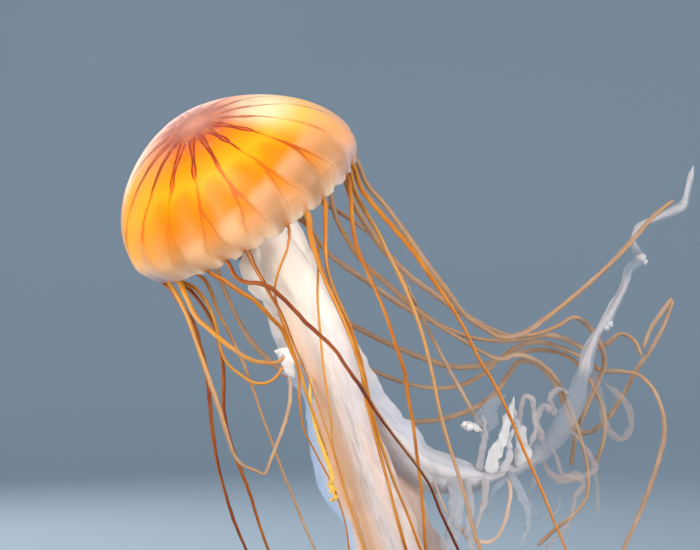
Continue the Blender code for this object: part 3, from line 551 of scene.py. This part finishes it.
# A broad fold of the left arm swells out at the mouth.
fold = [(-12, 4, 446, 22, 8), (-24, 4, 430, 30, 10), (-29, 6, 414, 34, 11), (-26, 8, 401, 28, 10),
    (-17, 12, 386, 16, 8), (-8, 16, 368, 6, 4)]
frilled(bm, [Vector(s[:3]) for s in fold], [s[3:] for s in fold], 2.5, 14.0, 4.0, ridges=[(-0.4, 0.2, 10, 70, 1.5)],
    lace=0.2)
# The stalk, from the roof of the cavity to the mouth: (radius, height) in mm in the bell's own frame.
stalk_profile = [(0.5, 52), (25, 52), (19, 42), (17, 20), (21, 0), (22, -10), (17, -18), (0.5, -19)]


def stalk(i, a):
    """A ring of the stalk, with four soft corners."""
    r, h = stalk_profile[i]
    r *= 1 + 0.12 * math.cos(4 * a)
    point = Vector((r * math.sin(a) + CROWN_SHIFT * h / (BELL_WIDEST + BELL_RISE), -r * math.cos(a), h))
    return IN_BODY.inverted() @ IN_BELL @ point, 0.0, 0.0, 0.0, 0.0


wrapped(bm, len(stalk_profile) - 1, 48, stalk)
bmesh.ops.transform(bm, matrix=IN_BODY, verts=bm.verts)
# Milky jelly: silicone with a little white, peach in the rib's bands and blue-white in the thin wings, smooth
# and wet. Faint streaks run along the arm, a few mm apart.
milk, shader, add = finish_of("milky_silicone_jelly", {"Roughness": 0.42, "IOR": 1.36, "Subsurface Weight": 0.45,
    "Subsurface Scale": 0.006, "Subsurface Radius": (1.0, 0.78, 0.6), "Sheen Weight": 0.15, "Sheen Roughness": 0.4,
    "Coat Weight": 0.12, "Coat Roughness": 0.2})
run, edge, blush, clear = [add("Attribute", attribute_name=n).outputs["Fac"] for n in FACTS]
flow = add("CombineXYZ", (add("Math MULTIPLY", (edge, 2.6)), add("Math MULTIPLY", (run, 0.02)), 0.0))
bands = add("TexNoise", {"Vector": flow, "Scale": 1.4, "Detail": 3.5, "Distortion": 0.8})
flesh = add("ValToRGB", (bands,), [(0.3, "#BCAEAA"), (0.42, "#C8BEBC"), (0.5, "#D2CAC8"), (0.6, "#CABCB4"),
    (0.7, "#D0C8C6"), (0.85, "#DAD6D8")])
warm = add("MapRange", (blush, 0.0, 1.0, 0.0, 0.9))
peached = add("Mix RGBA", (warm, flesh, linear("#E0AC82")))
yolk = add("MapRange", (blush, 1.1, 2.0))
yolked = add("Mix RGBA", (yolk, peached, linear("#F2B848")))
unblushed = add("Math SUBTRACT", (1.0, blush), use_clamp=True)
glassy = add("Math MULTIPLY", (add("MapRange", (clear, 0.0, 0.8)), unblushed))
# Near the mouth, some 0.35 m up and left of x = 0.05 m, the jelly is painted creamier and lighter, a painted glow
# where the bell shades it; left of x = 0.05 m its glassy parts are bluer.
place = add("TexCoord").outputs["Object"]
sides = add("SeparateXYZ", (place,))
top = add("MapRange", (sides.outputs["Z"], 0.32, 0.4, 0.0, 0.9))
inner = add("MapRange", (sides.outputs["X"], 0.05, 0.0))
glass = add("Mix RGBA", (inner, linear("#B2B8C0"), linear("#B8D4F8")))
cleared = add("Mix RGBA", (glassy, yolked, glass))
# The upswept arm and its lace are thinner, and right of x = 0.05 m the colour is painted darker and grey-blue as
# painted shade.
outer = add("Math MULTIPLY_ADD", (inner, -0.45, 0.45))
right_arm_shade = add("Mix RGBA", (outer, cleared, linear("#8894A2")))
# Painted glow: near the mouth the colour is mixed toward light cream, standing in for light through the stalk.
glowing_top = add("Mix RGBA", (add("Math MULTIPLY", (top, inner)), right_arm_shade, linear("#FFF0E2")))
white = add("MapRange", (blush, 0.0, -1.0))
whitened = add("Mix RGBA", (white, glowing_top, linear("#FFF8F2")))
# The glassiest parts let nearly all light through.
solid = add("MapRange", (clear, 0.1, 1.5, 1.0, 0.08))
crease = add("TexNoise", {"Vector": flow, "Scale": 7.0, "Detail": 4.0})
bump = add("Bump", {"Height": crease, "Strength": 0.25, "Distance": 0.0006})
plug(shader, {"Base Color": whitened, "Alpha": solid, "Normal": bump})
arm_nodes = [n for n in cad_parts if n.startswith(("arm_", "manubrium"))]
piece_of(bm, "oral_arms", milk, arm_nodes)


# Frills: curtains of lace that come loose from the arms' edges, hang or stand where the right arm bends, and end
# in small knots. They are the same milky jelly, thinner and more glassy; one on the left is egg-yolk yellow.

# Each frill, in mm: its wave, the wave's pitch, its blush (2 is yolk yellow, below 0 is white), how glassy it is, and
# the places it passes (x, y, z) with its width and thickness there.
FRILLS = [
    # Standing on the bend: ragged curtains, a thin stem with its glassy web and a small white pad.
    (3.0, 10.0, -0.4, 0.4, [(146, 60, 252, 11, 1), (150, 59, 266, 12, 1), (156, 58, 277, 8, 1), (159, 58, 288, 8, 1),
     (163, 57, 300, 5, 1), (165, 56, 312, 2, 1)]),
    (2.2, 9.0, -0.2, 0.5, [(156, 62, 252, 6, 1), (162, 61, 264, 6, 1), (162, 60, 278, 4, 1), (167, 59, 290, 2, 1)]),
    (2.8, 10.0, -0.4, 0.4, [(168, 72, 256, 7, 1), (173, 70, 267, 13, 1), (172, 68, 279, 10, 1), (168, 67, 293, 5, 1),
     (166, 67, 304, 1, 1)]),
    (2.0, 9.0, 0.5, 0.6, [(170, 68, 284, 4, 1), (171, 67, 300, 4, 1), (175, 66, 311, 4, 1), (180, 64, 309, 4, 1),
     (182, 64, 297, 4, 1), (182, 63, 284, 4, 1), (178, 64, 270, 2, 1)]),
    (1.8, 8.0, 0.4, 0.7, [(138, 60, 254, 7, 1), (141, 61, 270, 5, 1), (143, 61, 288, 4, 1), (139, 60, 304, 1, 1)]),
    (1.5, 20.0, 0.0, 1.2, [(141, 62, 279, 3, 0.5), (143, 62, 291, 17, 0.5), (149, 61, 303, 13, 0.5),
     (159, 60, 313, 2, 0.5)]),
    (1.0, 7.0, -0.5, 0.3, [(124, 62, 289, 3, 2), (130, 62, 288, 8, 2), (136, 62, 287, 6, 2), (143, 62, 283, 2, 1)]),
    # Hanging from the bend.
    (3.4, 13.0, 0.3, 0.8, [(119, 50, 250, 12, 1), (120, 48, 233, 11, 1), (118, 46, 213, 10, 1), (116, 44, 194, 7, 1),
     (118, 41, 171, 4, 1), (122, 38, 152, 1, 1)]),
    (2.6, 11.0, 0.5, 0.9, [(127, 54, 248, 7, 1), (131, 52, 230, 6, 1), (129, 50, 208, 6, 1), (133, 48, 188, 4, 1),
     (131, 46, 166, 1, 1)]),
    (2.4, 10.0, 0.5, 0.6, [(143, 58, 248, 6, 1), (142, 54, 231, 5, 1), (138, 52, 218, 4, 1), (133, 50, 203, 1, 1)]),
    (3.0, 11.0, 0.0, 0.9, [(160, 70, 251, 8, 1), (167, 66, 243, 7, 1), (173, 64, 231, 7, 1), (177, 62, 218, 5, 1),
     (175, 60, 205, 4, 1), (167, 57, 192, 1, 1)]),
    (1.8, 9.0, 0.0, 1.2, [(162, 66, 248, 3, 1), (155, 64, 243, 5, 1), (148, 63, 235, 4, 1), (145, 62, 225, 3, 1),
     (148, 60, 212, 1, 1)]),
    (0.8, 12.0, 1.2, 0.2, [(159, 72, 249, 2, 1), (163, 63, 240, 3, 1), (161, 58, 226, 3, 1), (156, 56, 209, 3, 1),
     (147, 55, 199, 3, 1), (135, 53, 200, 3, 1), (124, 52, 208, 3, 1), (112, 49, 224, 2, 1), (101, 47, 251, 1, 1)]),
    # Lace behind the bend and around the arm.
    (2.6, 7.0, 0.55, 0.7, [(192, 86, 266, 3, 1), (188, 86, 281, 6, 1), (186, 87, 292, 5, 1), (191, 88, 302, 5, 1),
     (200, 90, 297, 5, 1), (197, 92, 309, 5, 1), (206, 94, 316, 4, 1), (214, 95, 308, 1, 1)]),
    (1.2, 9.0, 1.1, 1.3, [(229, 104, 344, 2, 1), (233, 109, 326, 5, 1), (240, 114, 308, 5, 1), (243, 115, 290, 5, 1),
     (250, 116, 277, 5, 1), (259, 117, 275, 5, 1), (265, 118, 284, 5, 1), (262, 118, 300, 5, 1),
     (252, 116, 311, 4, 1), (240, 113, 322, 1, 1)]),
    (1.8, 8.0, 1.0, 1.2, [(190, 85, 266, 3, 1), (194, 91, 252, 4, 1), (206, 95, 243, 7, 1), (219, 96, 245, 7, 1),
     (224, 97, 239, 4, 1), (217, 97, 228, 4, 1), (214, 97, 212, 4, 1), (200, 96, 194, 3, 1), (186, 95, 182, 1, 1)]),
    (1.0, 9.0, 1.1, 1.4, [(204, 89, 280, 2, 1), (216, 94, 280, 3, 1), (228, 99, 264, 4, 1), (234, 101, 246, 4, 1),
     (236, 102, 229, 4, 1), (236, 102, 210, 1, 1)]),
    (1.2, 8.0, 0.9, 1.3, [(196, 86, 272, 2, 1), (201, 83, 262, 3, 1), (205, 80, 250, 4, 1), (217, 79, 246, 4, 1),
     (232, 80, 254, 4, 1), (226, 82, 267, 3, 1), (212, 88, 284, 1, 1)]),
    (1.4, 9.0, 0.3, 1.3, [(180, 80, 260, 3, 1), (184, 84, 244, 4, 1), (178, 86, 228, 5, 1), (190, 86, 214, 4, 1),
     (202, 84, 220, 3, 1), (204, 82, 232, 1, 1)]),
    # The web from the left arm to its knot.
    (1.6, 12.0, 0.0, 0.6, [(10, 20, 312, 5, 1), (2, 10, 325, 14, 1), (-6, -2, 337, 15, 1), (-11, -11, 346, 6, 2)]),
    # The knot: a thick curl of pale lace.
    (2.2, 9.0, -0.25, 0.1, [(-4, -9, 330, 4, 2), (-8, -12, 336, 8, 4), (-10, -14, 343, 12, 6), (-14, -14, 348, 10, 6),
     (-19, -13, 350, 3, 3)]),
    # The yellow curtain.
    (1.0, 7.0, 2.0, 0.0, [(10, 0, 331, 2, 1), (8, -14, 324, 2, 1), (9, -27, 308, 1.8, 1), (14, -31, 288, 2, 1),
     (20, -32, 272, 3, 1), (24, -32, 260, 2.5, 1), (24, -32, 252, 4, 1), (27, -32, 243, 3, 1)]),
]
ALL_ALONG = (-99, 999)
bm = bmesh.new()
for k, (ruffle, pitch, blush, clear, row) in enumerate(FRILLS):
    frilled(bm, [Vector(s[:3]) for s in row], [s[3:] for s in row], ruffle, pitch, 2.3 * k,
            [(0.0, 9.0, *ALL_ALONG, blush)], (clear, clear, [(*ALL_ALONG, clear)]), cup=0.0, lace=0.5, step=0.7,
            around=24)
# Small knobs of jelly (x, y, z, radius, blush): at the left arm's knot, down the yellow curtain, on the thin tip of
# the right arm and at the end of the pad on its bend.
run, edge, tint, _ = [bm.verts.layers.float.get(n) for n in FACTS]
for x, y, z, size, blush in (
    (-13, -14, 347, 3.6, 0.0),
    (24, -32, 254, 1.7, 2.0), (27, -31, 249, 1.5, 2.0), (23, -32, 247, 1.2, 2.0), (27, -33, 243, 2.0, 2.0),
    (24, -32, 241, 1.4, 2.0),
    (273, 117, 420, 3.8, -0.2), (276, 117, 417, 2.4, -0.2), (246, 109, 367, 3.4, -0.2), (243, 108, 364, 3.0, -0.2),
    (131, 62, 288, 3.6, -0.5), (127, 61, 290, 2.0, -0.5),
):
    knob = bmesh.ops.create_icosphere(bm, subdivisions=3, radius=size)["verts"]
    for v in knob:
        v.co *= 1 + 0.3 * noise.noise(v.co * 0.55 + Vector((x, y, z))) + 0.12 * noise.noise(v.co * 1.6)
        v[tint], v[edge], v[run] = blush, v.co.x / size, v.co.z * 2
        v.co += Vector((x, y, z))
bmesh.ops.transform(bm, matrix=IN_BODY, verts=bm.verts)

piece_of(bm, "arm_lace", milk, [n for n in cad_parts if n.startswith("frill_")])


# Tentacles: 24 flat elastic ribbons, one in each cleft of the margin but the eight that hold sense organs. They
# are orange to rust, with a painted highlight along both edges, and twist as they trail; each root is set into its
# cleft.

ROOT_RADIUS = 86.8
# Each in mm: its group, the cleft it comes from, its width at root and tip, its tone there (0 pale tan, 1 dark rust),
# and the places it passes (x, y, z).
TENTACLES = [
    ("front_1", 1, 2.6, 1.6, 0.6, 0.6, [(-7, -83, 425), (-12, -85, 412), (-16, -79, 397), (-13, -64, 378),
     (-6, -55, 358), (0, -51, 337), (1, -48, 313), (4, -45, 294), (10, -42, 281), (17, -36, 267), (26, -30, 249),
     (34, -26, 223), (38, -24, 193)]),
    ("front_2", 2, 4.8, 2.2, 0.58, 0.6, [(10, -77, 432), (15, -79, 416), (21, -80, 400), (28, -80, 385),
     (35, -79, 369), (41, -77, 353), (46, -75, 337), (49, -72, 318), (54, -69, 298), (59, -66, 278), (65, -62, 256),
     (71, -58, 232), (78, -54, 207), (86, -48, 173), (98, -40, 137), (112, -32, 107)]),
    ("front_3", 3, 4.2, 2, 0.62, 0.6, [(20, -70, 441), (20, -72, 425), (22, -72, 408), (28, -71, 391), (36, -69, 373),
     (42, -67, 355), (47, -64, 336), (52, -61, 312), (59, -58, 287), (68, -54, 260), (79, -50, 233), (89, -46, 206),
     (102, -40, 174), (118, -32, 141), (136, -24, 110)]),
    ("right_1", 5, 3.8, 2, 0.62, 0.6, [(38, -46, 463), (39, -49, 446), (42, -52, 428), (49, -53, 411), (57, -54, 393),
     (65, -54, 373), (71, -54, 354), (77, -53, 336), (80, -51, 316), (83, -49, 300), (86, -46, 276), (89, -42, 254),
     (91, -38, 233), (93, -34, 205), (97, -28, 170), (106, -20, 134), (119, -10, 102)]),
    ("right_2", 6, 4.2, 2.1, 0.6, 0.6, [(45, -33, 471), (56, -38, 456), (69, -42, 441), (83, -46, 424),
     (96, -49, 405), (109, -52, 386), (121, -54, 366), (130, -55, 347), (142, -56, 327), (153, -57, 304),
     (163, -57, 280), (175, -56, 253), (186, -54, 226), (194, -52, 207), (205, -48, 178), (215, -42, 147),
     (221, -36, 122)]),
    ("right_3", 7, 5.4, 4.8, 0.2, 0.12, [(50, -12, 474), (64, -8, 458), (80, 0, 437), (96, 8, 414), (111, 18, 394),
     (126, 30, 375), (141, 42, 365), (156, 54, 358), (174, 64, 361), (191, 74, 372), (211, 84, 386), (233, 92, 404),
     (253, 98, 423), (269, 104, 440), (282, 108, 454), (299, 112, 467)]),
    ("far_right_1", 9, 4.6, 3, 0.4, 0.2, [(38, 13, 483), (42, 4, 467), (50, -4, 452), (59, -8, 437), (66, -11, 422),
     (74, -13, 406), (82, -14, 388), (89, -14, 369), (95, -13, 349), (100, -11, 327), (104, -9, 306), (110, -5, 284),
     (117, 0, 262), (124, 4, 240), (130, 8, 217), (136, 12, 198), (145, 18, 167), (158, 26, 135), (175, 36, 105)]),
    ("far_right_2", 10, 5, 4.4, 0.2, 0.1, [(33, 31, 485), (37, 28, 469), (43, 25, 455), (52, 24, 441), (62, 24, 427),
     (73, 26, 415), (85, 30, 404), (99, 36, 394), (114, 44, 383), (129, 54, 374), (147, 66, 364), (164, 78, 358),
     (184, 90, 359), (203, 103, 365), (219, 116, 372), (232, 126, 364), (242, 131, 349), (245, 132, 334),
     (239, 131, 318), (229, 129, 296), (221, 127, 275), (217, 125, 250)]),
    ("far_right_3", 11, 5, 4, 0.2, 0.08, [(23, 46, 485), (23, 43, 467), (27, 40, 450), (34, 39, 436), (44, 39, 420),
     (56, 40, 408), (69, 42, 397), (81, 45, 386), (96, 50, 375), (111, 56, 364), (126, 63, 355), (141, 71, 346),
     (156, 79, 340), (171, 87, 343), (187, 95, 337), (200, 103, 326), (210, 113, 310), (219, 118, 289),
     (226, 118, 268), (230, 116, 245), (228, 113, 227), (218, 109, 214), (203, 105, 203), (187, 101, 189)]),
    ("back_1", 13, 4, 3, 0.15, 0.08, [(4, 67, 479), (15, 61, 464), (31, 57, 454), (46, 54, 444), (59, 53, 433),
     (69, 53, 419), (78, 54, 404), (87, 56, 387), (95, 59, 370), (105, 62, 351), (115, 65, 332), (126, 68, 313),
     (135, 71, 297), (144, 74, 284)]),
    ("back_2", 14, 5, 4.6, 0.15, 0.08, [(-9, 77, 472), (0, 75, 453), (11, 73, 435), (22, 72, 422), (38, 72, 410),
     (55, 74, 398), (74, 77, 385), (93, 82, 374), (112, 88, 365), (132, 94, 357), (153, 99, 354), (175, 104, 355),
     (195, 110, 358), (213, 122, 354), (230, 133, 346), (247, 140, 349), (260, 141, 358), (271, 141, 352),
     (277, 139, 338)]),
    ("back_3", 15, 2.6, 1.6, 0.5, 0.4, [(-26, 79, 469), (-12, 64, 456), (1, 44, 447), (11, 20, 435), (14, -8, 422),
     (14, -32, 406), (14, -48, 389), (16, -54, 364), (18, -56, 342), (21, -56, 321), (24, -54, 300), (25, -50, 282),
     (30, -46, 263), (38, -42, 237), (48, -38, 205), (60, -32, 170), (75, -24, 136)]),
    ("back_4", 17, 5, 4.2, 0.15, 0.08, [(-50, 85, 443), (-35, 88, 416), (-13, 90, 394), (13, 90, 378), (36, 90, 368),
     (55, 91, 358), (76, 93, 348), (98, 96, 339), (119, 100, 333), (139, 105, 333), (156, 110, 338), (172, 116, 348),
     (189, 122, 352), (207, 128, 348), (225, 134, 340), (244, 140, 328), (259, 143, 327), (275, 144, 324),
     (287, 143, 312), (294, 141, 293), (295, 139, 274), (289, 136, 251), (280, 133, 227), (270, 130, 204),
     (260, 127, 183), (252, 124, 153)]),
    ("back_5", 18, 5, 4.4, 0.12, 0.06, [(-55, 87, 436), (-43, 93, 403), (-22, 99, 374), (6, 103, 354), (34, 105, 339),
     (59, 107, 328), (83, 110, 319), (107, 113, 315), (129, 116, 318), (146, 120, 327), (162, 125, 340),
     (179, 130, 344), (197, 134, 345), (215, 138, 340), (230, 142, 327), (240, 145, 309), (247, 146, 290),
     (246, 145, 270), (239, 142, 251)]),
    ("back_6", 19, 5, 4.4, 0.12, 0.06, [(-73, 83, 424), (-60, 96, 388), (-41, 108, 352), (-12, 116, 324),
     (23, 121, 301), (58, 124, 290), (90, 125, 287), (116, 126, 290), (138, 127, 298), (155, 129, 309),
     (166, 132, 324), (175, 135, 335), (187, 138, 335), (199, 141, 326), (209, 145, 312), (216, 149, 294),
     (223, 152, 279), (235, 154, 276), (250, 155, 287), (263, 155, 306), (274, 154, 327), (287, 153, 346),
     (298, 152, 367), (303, 151, 386), (295, 148, 376), (285, 146, 362), (278, 144, 345)]),
    ("far_left_1", 21, 4, 2.3, 0.35, 0.05, [(-91, 38, 412), (-75, 26, 404), (-68, 16, 394), (-62, 8, 379),
     (-53, 3, 362), (-44, 0, 343), (-36, 0, 323), (-29, 2, 302), (-21, 5, 280), (-13, 8, 257), (-5, 12, 237),
     (3, 16, 216), (11, 20, 197), (25, 26, 163), (42, 32, 131), (63, 36, 105)]),
    ("far_left_2", 22, 3.8, 2.3, 0.85, 0.75, [(-97, 32, 405), (-81, 34, 390), (-68, 34, 369), (-61, 32, 345),
     (-59, 29, 323), (-59, 26, 305), (-56, 24, 288), (-51, 24, 271), (-45, 26, 255), (-39, 29, 239), (-33, 33, 218),
     (-26, 37, 197), (-13, 43, 163), (2, 48, 131), (21, 52, 108)]),
    ("far_left_3", 23, 4.4, 3, 0.62, 0.42, [(-97, 10, 403), (-80, -2, 397), (-71, -10, 388), (-65, -14, 377),
     (-61, -16, 365), (-59, -16, 353), (-54, -14, 341), (-44, -12, 332), (-34, -10, 326), (-24, -8, 326),
     (-16, -6, 332), (-11, -5, 341)]),
    ("left_1", 25, 4.4, 1.8, 0.72, 0.85, [(-95, -22, 396), (-88, -28, 386), (-78, -33, 372), (-72, -35, 353),
     (-67, -35, 332), (-65, -34, 310), (-63, -33, 289), (-60, -31, 269), (-55, -28, 248), (-48, -25, 225),
     (-39, -22, 203), (-24, -18, 169), (-6, -14, 137), (18, -10, 110)]),
    ("left_2", 26, 4.6, 3, 0.5, 0.05, [(-89, -37, 391), (-81, -43, 376), (-73, -46, 354), (-65, -48, 331),
     (-57, -49, 308), (-52, -48, 291), (-47, -46, 276), (-41, -44, 268), (-32, -42, 264), (-25, -40, 261),
     (-22, -38, 267), (-17, -34, 280), (-11, -28, 296), (-7, -20, 313), (-7, -12, 331)]),
    ("left_3", 27, 4.8, 3.4, 0.5, 0.35, [(-80, -51, 388), (-73, -55, 375), (-64, -56, 367), (-55, -54, 359),
     (-45, -50, 351), (-36, -44, 345), (-25, -36, 342), (-16, -28, 342), (-10, -22, 346)]),
    ("front_left_1", 29, 4.4, 2.2, 0.7, 0.42, [(-52, -70, 402), (-42, -73, 395), (-32, -72, 389), (-24, -66, 381),
     (-18, -58, 374), (-12, -48, 367), (-7, -42, 355), (0, -38, 338), (6, -34, 318), (13, -30, 298), (19, -26, 279),
     (24, -24, 260), (26, -22, 240)]),
    ("front_left_2", 30, 3.6, 2.2, 0.8, 1, [(-43, -79, 404), (-35, -84, 401), (-25, -87, 400), (-17, -88, 396),
     (-5, -88, 385), (7, -87, 372), (17, -86, 363), (27, -85, 353), (35, -84, 341), (45, -82, 327), (57, -79, 308),
     (70, -74, 290), (86, -68, 269), (95, -63, 255), (103, -58, 235), (116, -50, 207), (129, -42, 175),
     (146, -33, 143), (166, -24, 115)]),
    ("front_left_3", 31, 5.4, 1.3, 0.84, 0.4, [(-30, -81, 412), (-24, -82, 402), (-19, -80, 392), (-11, -76, 378),
     (-2, -70, 355), (8, -66, 331), (17, -64, 306), (26, -62, 278), (35, -58, 246), (45, -53, 215), (56, -46, 177),
     (72, -38, 137)]),
]


def flat_ribbon(bm, line, widths, tones, narrows, seed):
    """A twisting ribbon along the line; widths and tones hold the values at its root and its tip, and narrows is
    the share of its length over which it narrows."""
    total = line[-1][1]
    side = line[0][2].cross(Vector((0.3, 1, 0.1))).normalized()
    frames = []
    for point, s, along, _ in line:
        side = (side - along * side.dot(along)).normalized()
        frames.append((side, along.cross(side)))

    def shape(i, a):
        point, s, along, _ = line[i]
        side, face = frames[i]
        twist = seed + 2.6 * noise.noise(Vector((s * 0.012, seed, 0.0))) + s * 0.004
        width = widths[0] + (widths[1] - widths[0]) * min(1.0, s / total / narrows) ** 0.7
        tone = tones[0] + (tones[1] - tones[0]) * min(1.0, 1.5 * s / total)
        v, u = math.cos(a), math.sin(a)
        close = min(1.0, (total - s) / 4 + 0.01)
        lip = 1 + 0.08 * math.sin(s / 2.1 + (3 if v > 0 else 0) + seed)
        x, y = width / 2 * v * lip * close, width / 2 * 0.75 * u * close
        c, d = math.cos(twist), math.sin(twist)
        return point + side * (x * c - y * d) + face * (x * d + y * c), s, v, tone, 0.0

    wrapped(bm, len(line) - 1, 10, shape)


# Pigmented silicone, drawn out flat: soft and a little wet, its colour in patches some 20 mm long. The palest are
# thin enough to let some light through.
strand, shader, add = finish_of("pigmented_silicone_strand", {"Roughness": 0.42, "IOR": 1.38,
    "Subsurface Weight": 0.1, "Subsurface Scale": 0.002, "Subsurface Radius": (1.0, 0.45, 0.2),
    "Specular IOR Level": 0.3, "Coat Weight": 0.06, "Coat Roughness": 0.2})
edge, tone = [add("Attribute", attribute_name=n).outputs["Fac"] for n in FACTS[1:3]]
place = add("TexCoord").outputs["Object"]
patch = add("TexNoise", {"Vector": place, "Scale": 45.0, "Detail": 2.0})
mixed = add("Math ADD", (add("MapRange", (patch, 0.0, 1.0, -0.2, 0.2)), tone))
body = add("ValToRGB", (mixed,), [(0.0, "#C4A486"), (0.12, "#AC8B72"), (0.3, "#C08E56"), (0.45, "#CC8A30"),
    (0.6, "#B26A12"), (0.75, "#90480C"), (0.9, "#6C280C"), (1.0, "#4A180E")])
# Painted highlight: both edges of each ribbon are painted a lighter gold.
wing = add("Math ABSOLUTE", (edge,))
lip = add("MapRange SMOOTHSTEP", (wing, 0.72, 1.0, 0.0, 0.3))
edge_highlighted = add("Mix RGBA", (lip, body, linear("#E2A866")))
thin = add("MapRange", (tone, 0.0, 0.3, 0.78, 1.0))
# Stinging warts are about 0.2 mm across, drawn at 0.5 mm so that they show.
warts = add("TexVoronoi", {"Vector": place, "Scale": 2000.0})
bump = add("Bump", {"Height": warts.outputs["Distance"], "Strength": 0.2, "Distance": 0.0001})
plug(shader, {"Base Color": edge_highlighted, "Alpha": thin, "Normal": bump})
for group, test in (("near_tentacles", ("front", "left", "right")), ("far_tentacles", ("far", "back"))):
    bm = bmesh.new()
    for k, (name, cleft, root, tip, root_tone, tip_tone, row) in enumerate(TENTACLES):
        if not name.startswith(test):
            continue
        degrees = cleft * 360 / LAPPETS
        places = [bell_place(degrees, ROOT_RADIUS, h) for h in (1, -7.5)] + [Vector(p) for p in row]
        line = even_steps(places, [(0,)] * len(places), 1.8)
        # The broad one in front of the mouth draws thin early.
        narrows = 0.3 if name == "front_left_3" else 1.0
        flat_ribbon(bm, line, (root, tip), (root_tone, tip_tone), narrows, 1.7 * k)
    bmesh.ops.transform(bm, matrix=IN_BODY, verts=bm.verts)
    nodes = [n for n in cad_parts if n.startswith(tuple("tentacle_" + t for t in test))]
    piece_of(bm, group, strand, nodes)


# Studio: a plain floor of pale matt paper, 8.8 m across, that curves up all round into a plain backdrop. Soft
# lamps stand at the left, right, low in front and behind, and two narrow ones reach under the bell.

# The bowl's profile: (radius, height) in metres.
bowl = [(0.0, 0.0), (2.6, 0.0), (3.0, 0.03), (3.4, 0.14), (3.8, 0.36), (4.1, 0.66), (4.3, 1.05), (4.4, 1.5),
    (4.4, 5.0)]
bm = turned(bowl, 96)
bmesh.ops.remove_doubles(bm, verts=bm.verts, dist=1e-4)
bmesh.ops.recalc_face_normals(bm, faces=bm.faces)
bmesh.ops.reverse_faces(bm, faces=bm.faces)
paper, *_ = finish_of("pale_studio_paper", {"Roughness": 0.9, "Base Color": linear("#A9B9C6")})
backdrop = shown(bm, "backdrop", paper)

world = bpy.data.worlds.new("studio")
world.use_nodes = True
plug(world.node_tree.nodes["Background"], {"Color": linear("#DDE6EE"), "Strength": 0.7})
bpy.context.scene.world = world
# Each light's place and aim in metres, its watts, colour and size, and for a spot the degrees it opens.
MIDDLE = (-0.03, -0.02, 0.38)
for name, place, aim, watts, colour, size, degrees in (
    ("key_light", (-1.2, -1.7, 1.5), MIDDLE, 42.0, "#FFF6EC", 1.3, 0),
    ("fill_light", (1.8, -1.0, 1.1), MIDDLE, 32.0, "#FAF8FC", 1.4, 0),
    ("low_light", (-0.9, -1.9, 0.5), MIDDLE, 13.0, "#FFF4E8", 0.7, 0),
    ("rim_light", (-0.9, 1.7, 1.2), MIDDLE, 14.0, "#FFFFFF", 1.2, 0),
    ("mouth_light", (0.1, -1.5, 0.12), (-0.07, -0.06, 0.4), 44.0, "#FFF4E6", 0.08, 9.0),
    ("bend_light", (0.6, -1.3, 0.08), (0.045, 0.0, 0.25), 34.0, "#FFF4E6", 0.08, 8.5),
):
    lamp = bpy.data.lights.new(name, "SPOT" if degrees else "AREA")
    lamp.energy, lamp.color = watts, linear(colour)[:3]
    if degrees:
        lamp.spot_size, lamp.spot_blend, lamp.shadow_soft_size = math.radians(degrees), 1.0, size
    else:
        lamp.shape, lamp.size = "DISK", size
    light = bpy.data.objects.new(name, lamp)
    light.location = place
    light.rotation_euler = (Vector(place) - Vector(aim)).to_track_quat("Z", "Y").to_euler()
    bpy.context.scene.collection.objects.link(light)
bpy.context.scene.view_settings.view_transform = "Standard"


# Camera: level and straight in front, at the height of the mouth, in metres. It stands VIEW_DISTANCE from the
# upright plane through the bell's middle, and its view is VIEW_WIDTH wide there.

VIEW_DISTANCE = 1.5
VIEW_WIDTH = 0.525
lens = bpy.data.cameras.new("camera")
lens.sensor_width, lens.lens = 36.0, 36.0 * VIEW_DISTANCE / VIEW_WIDTH
camera = bpy.data.objects.new("camera", lens)
camera.location = (-0.0245, BELL_PLACE.y * 0.001 - VIEW_DISTANCE, 0.40625)
camera.rotation_euler = (math.pi / 2, 0.0, 0.0)
bpy.context.scene.collection.objects.link(camera)
bpy.context.scene.camera = camera
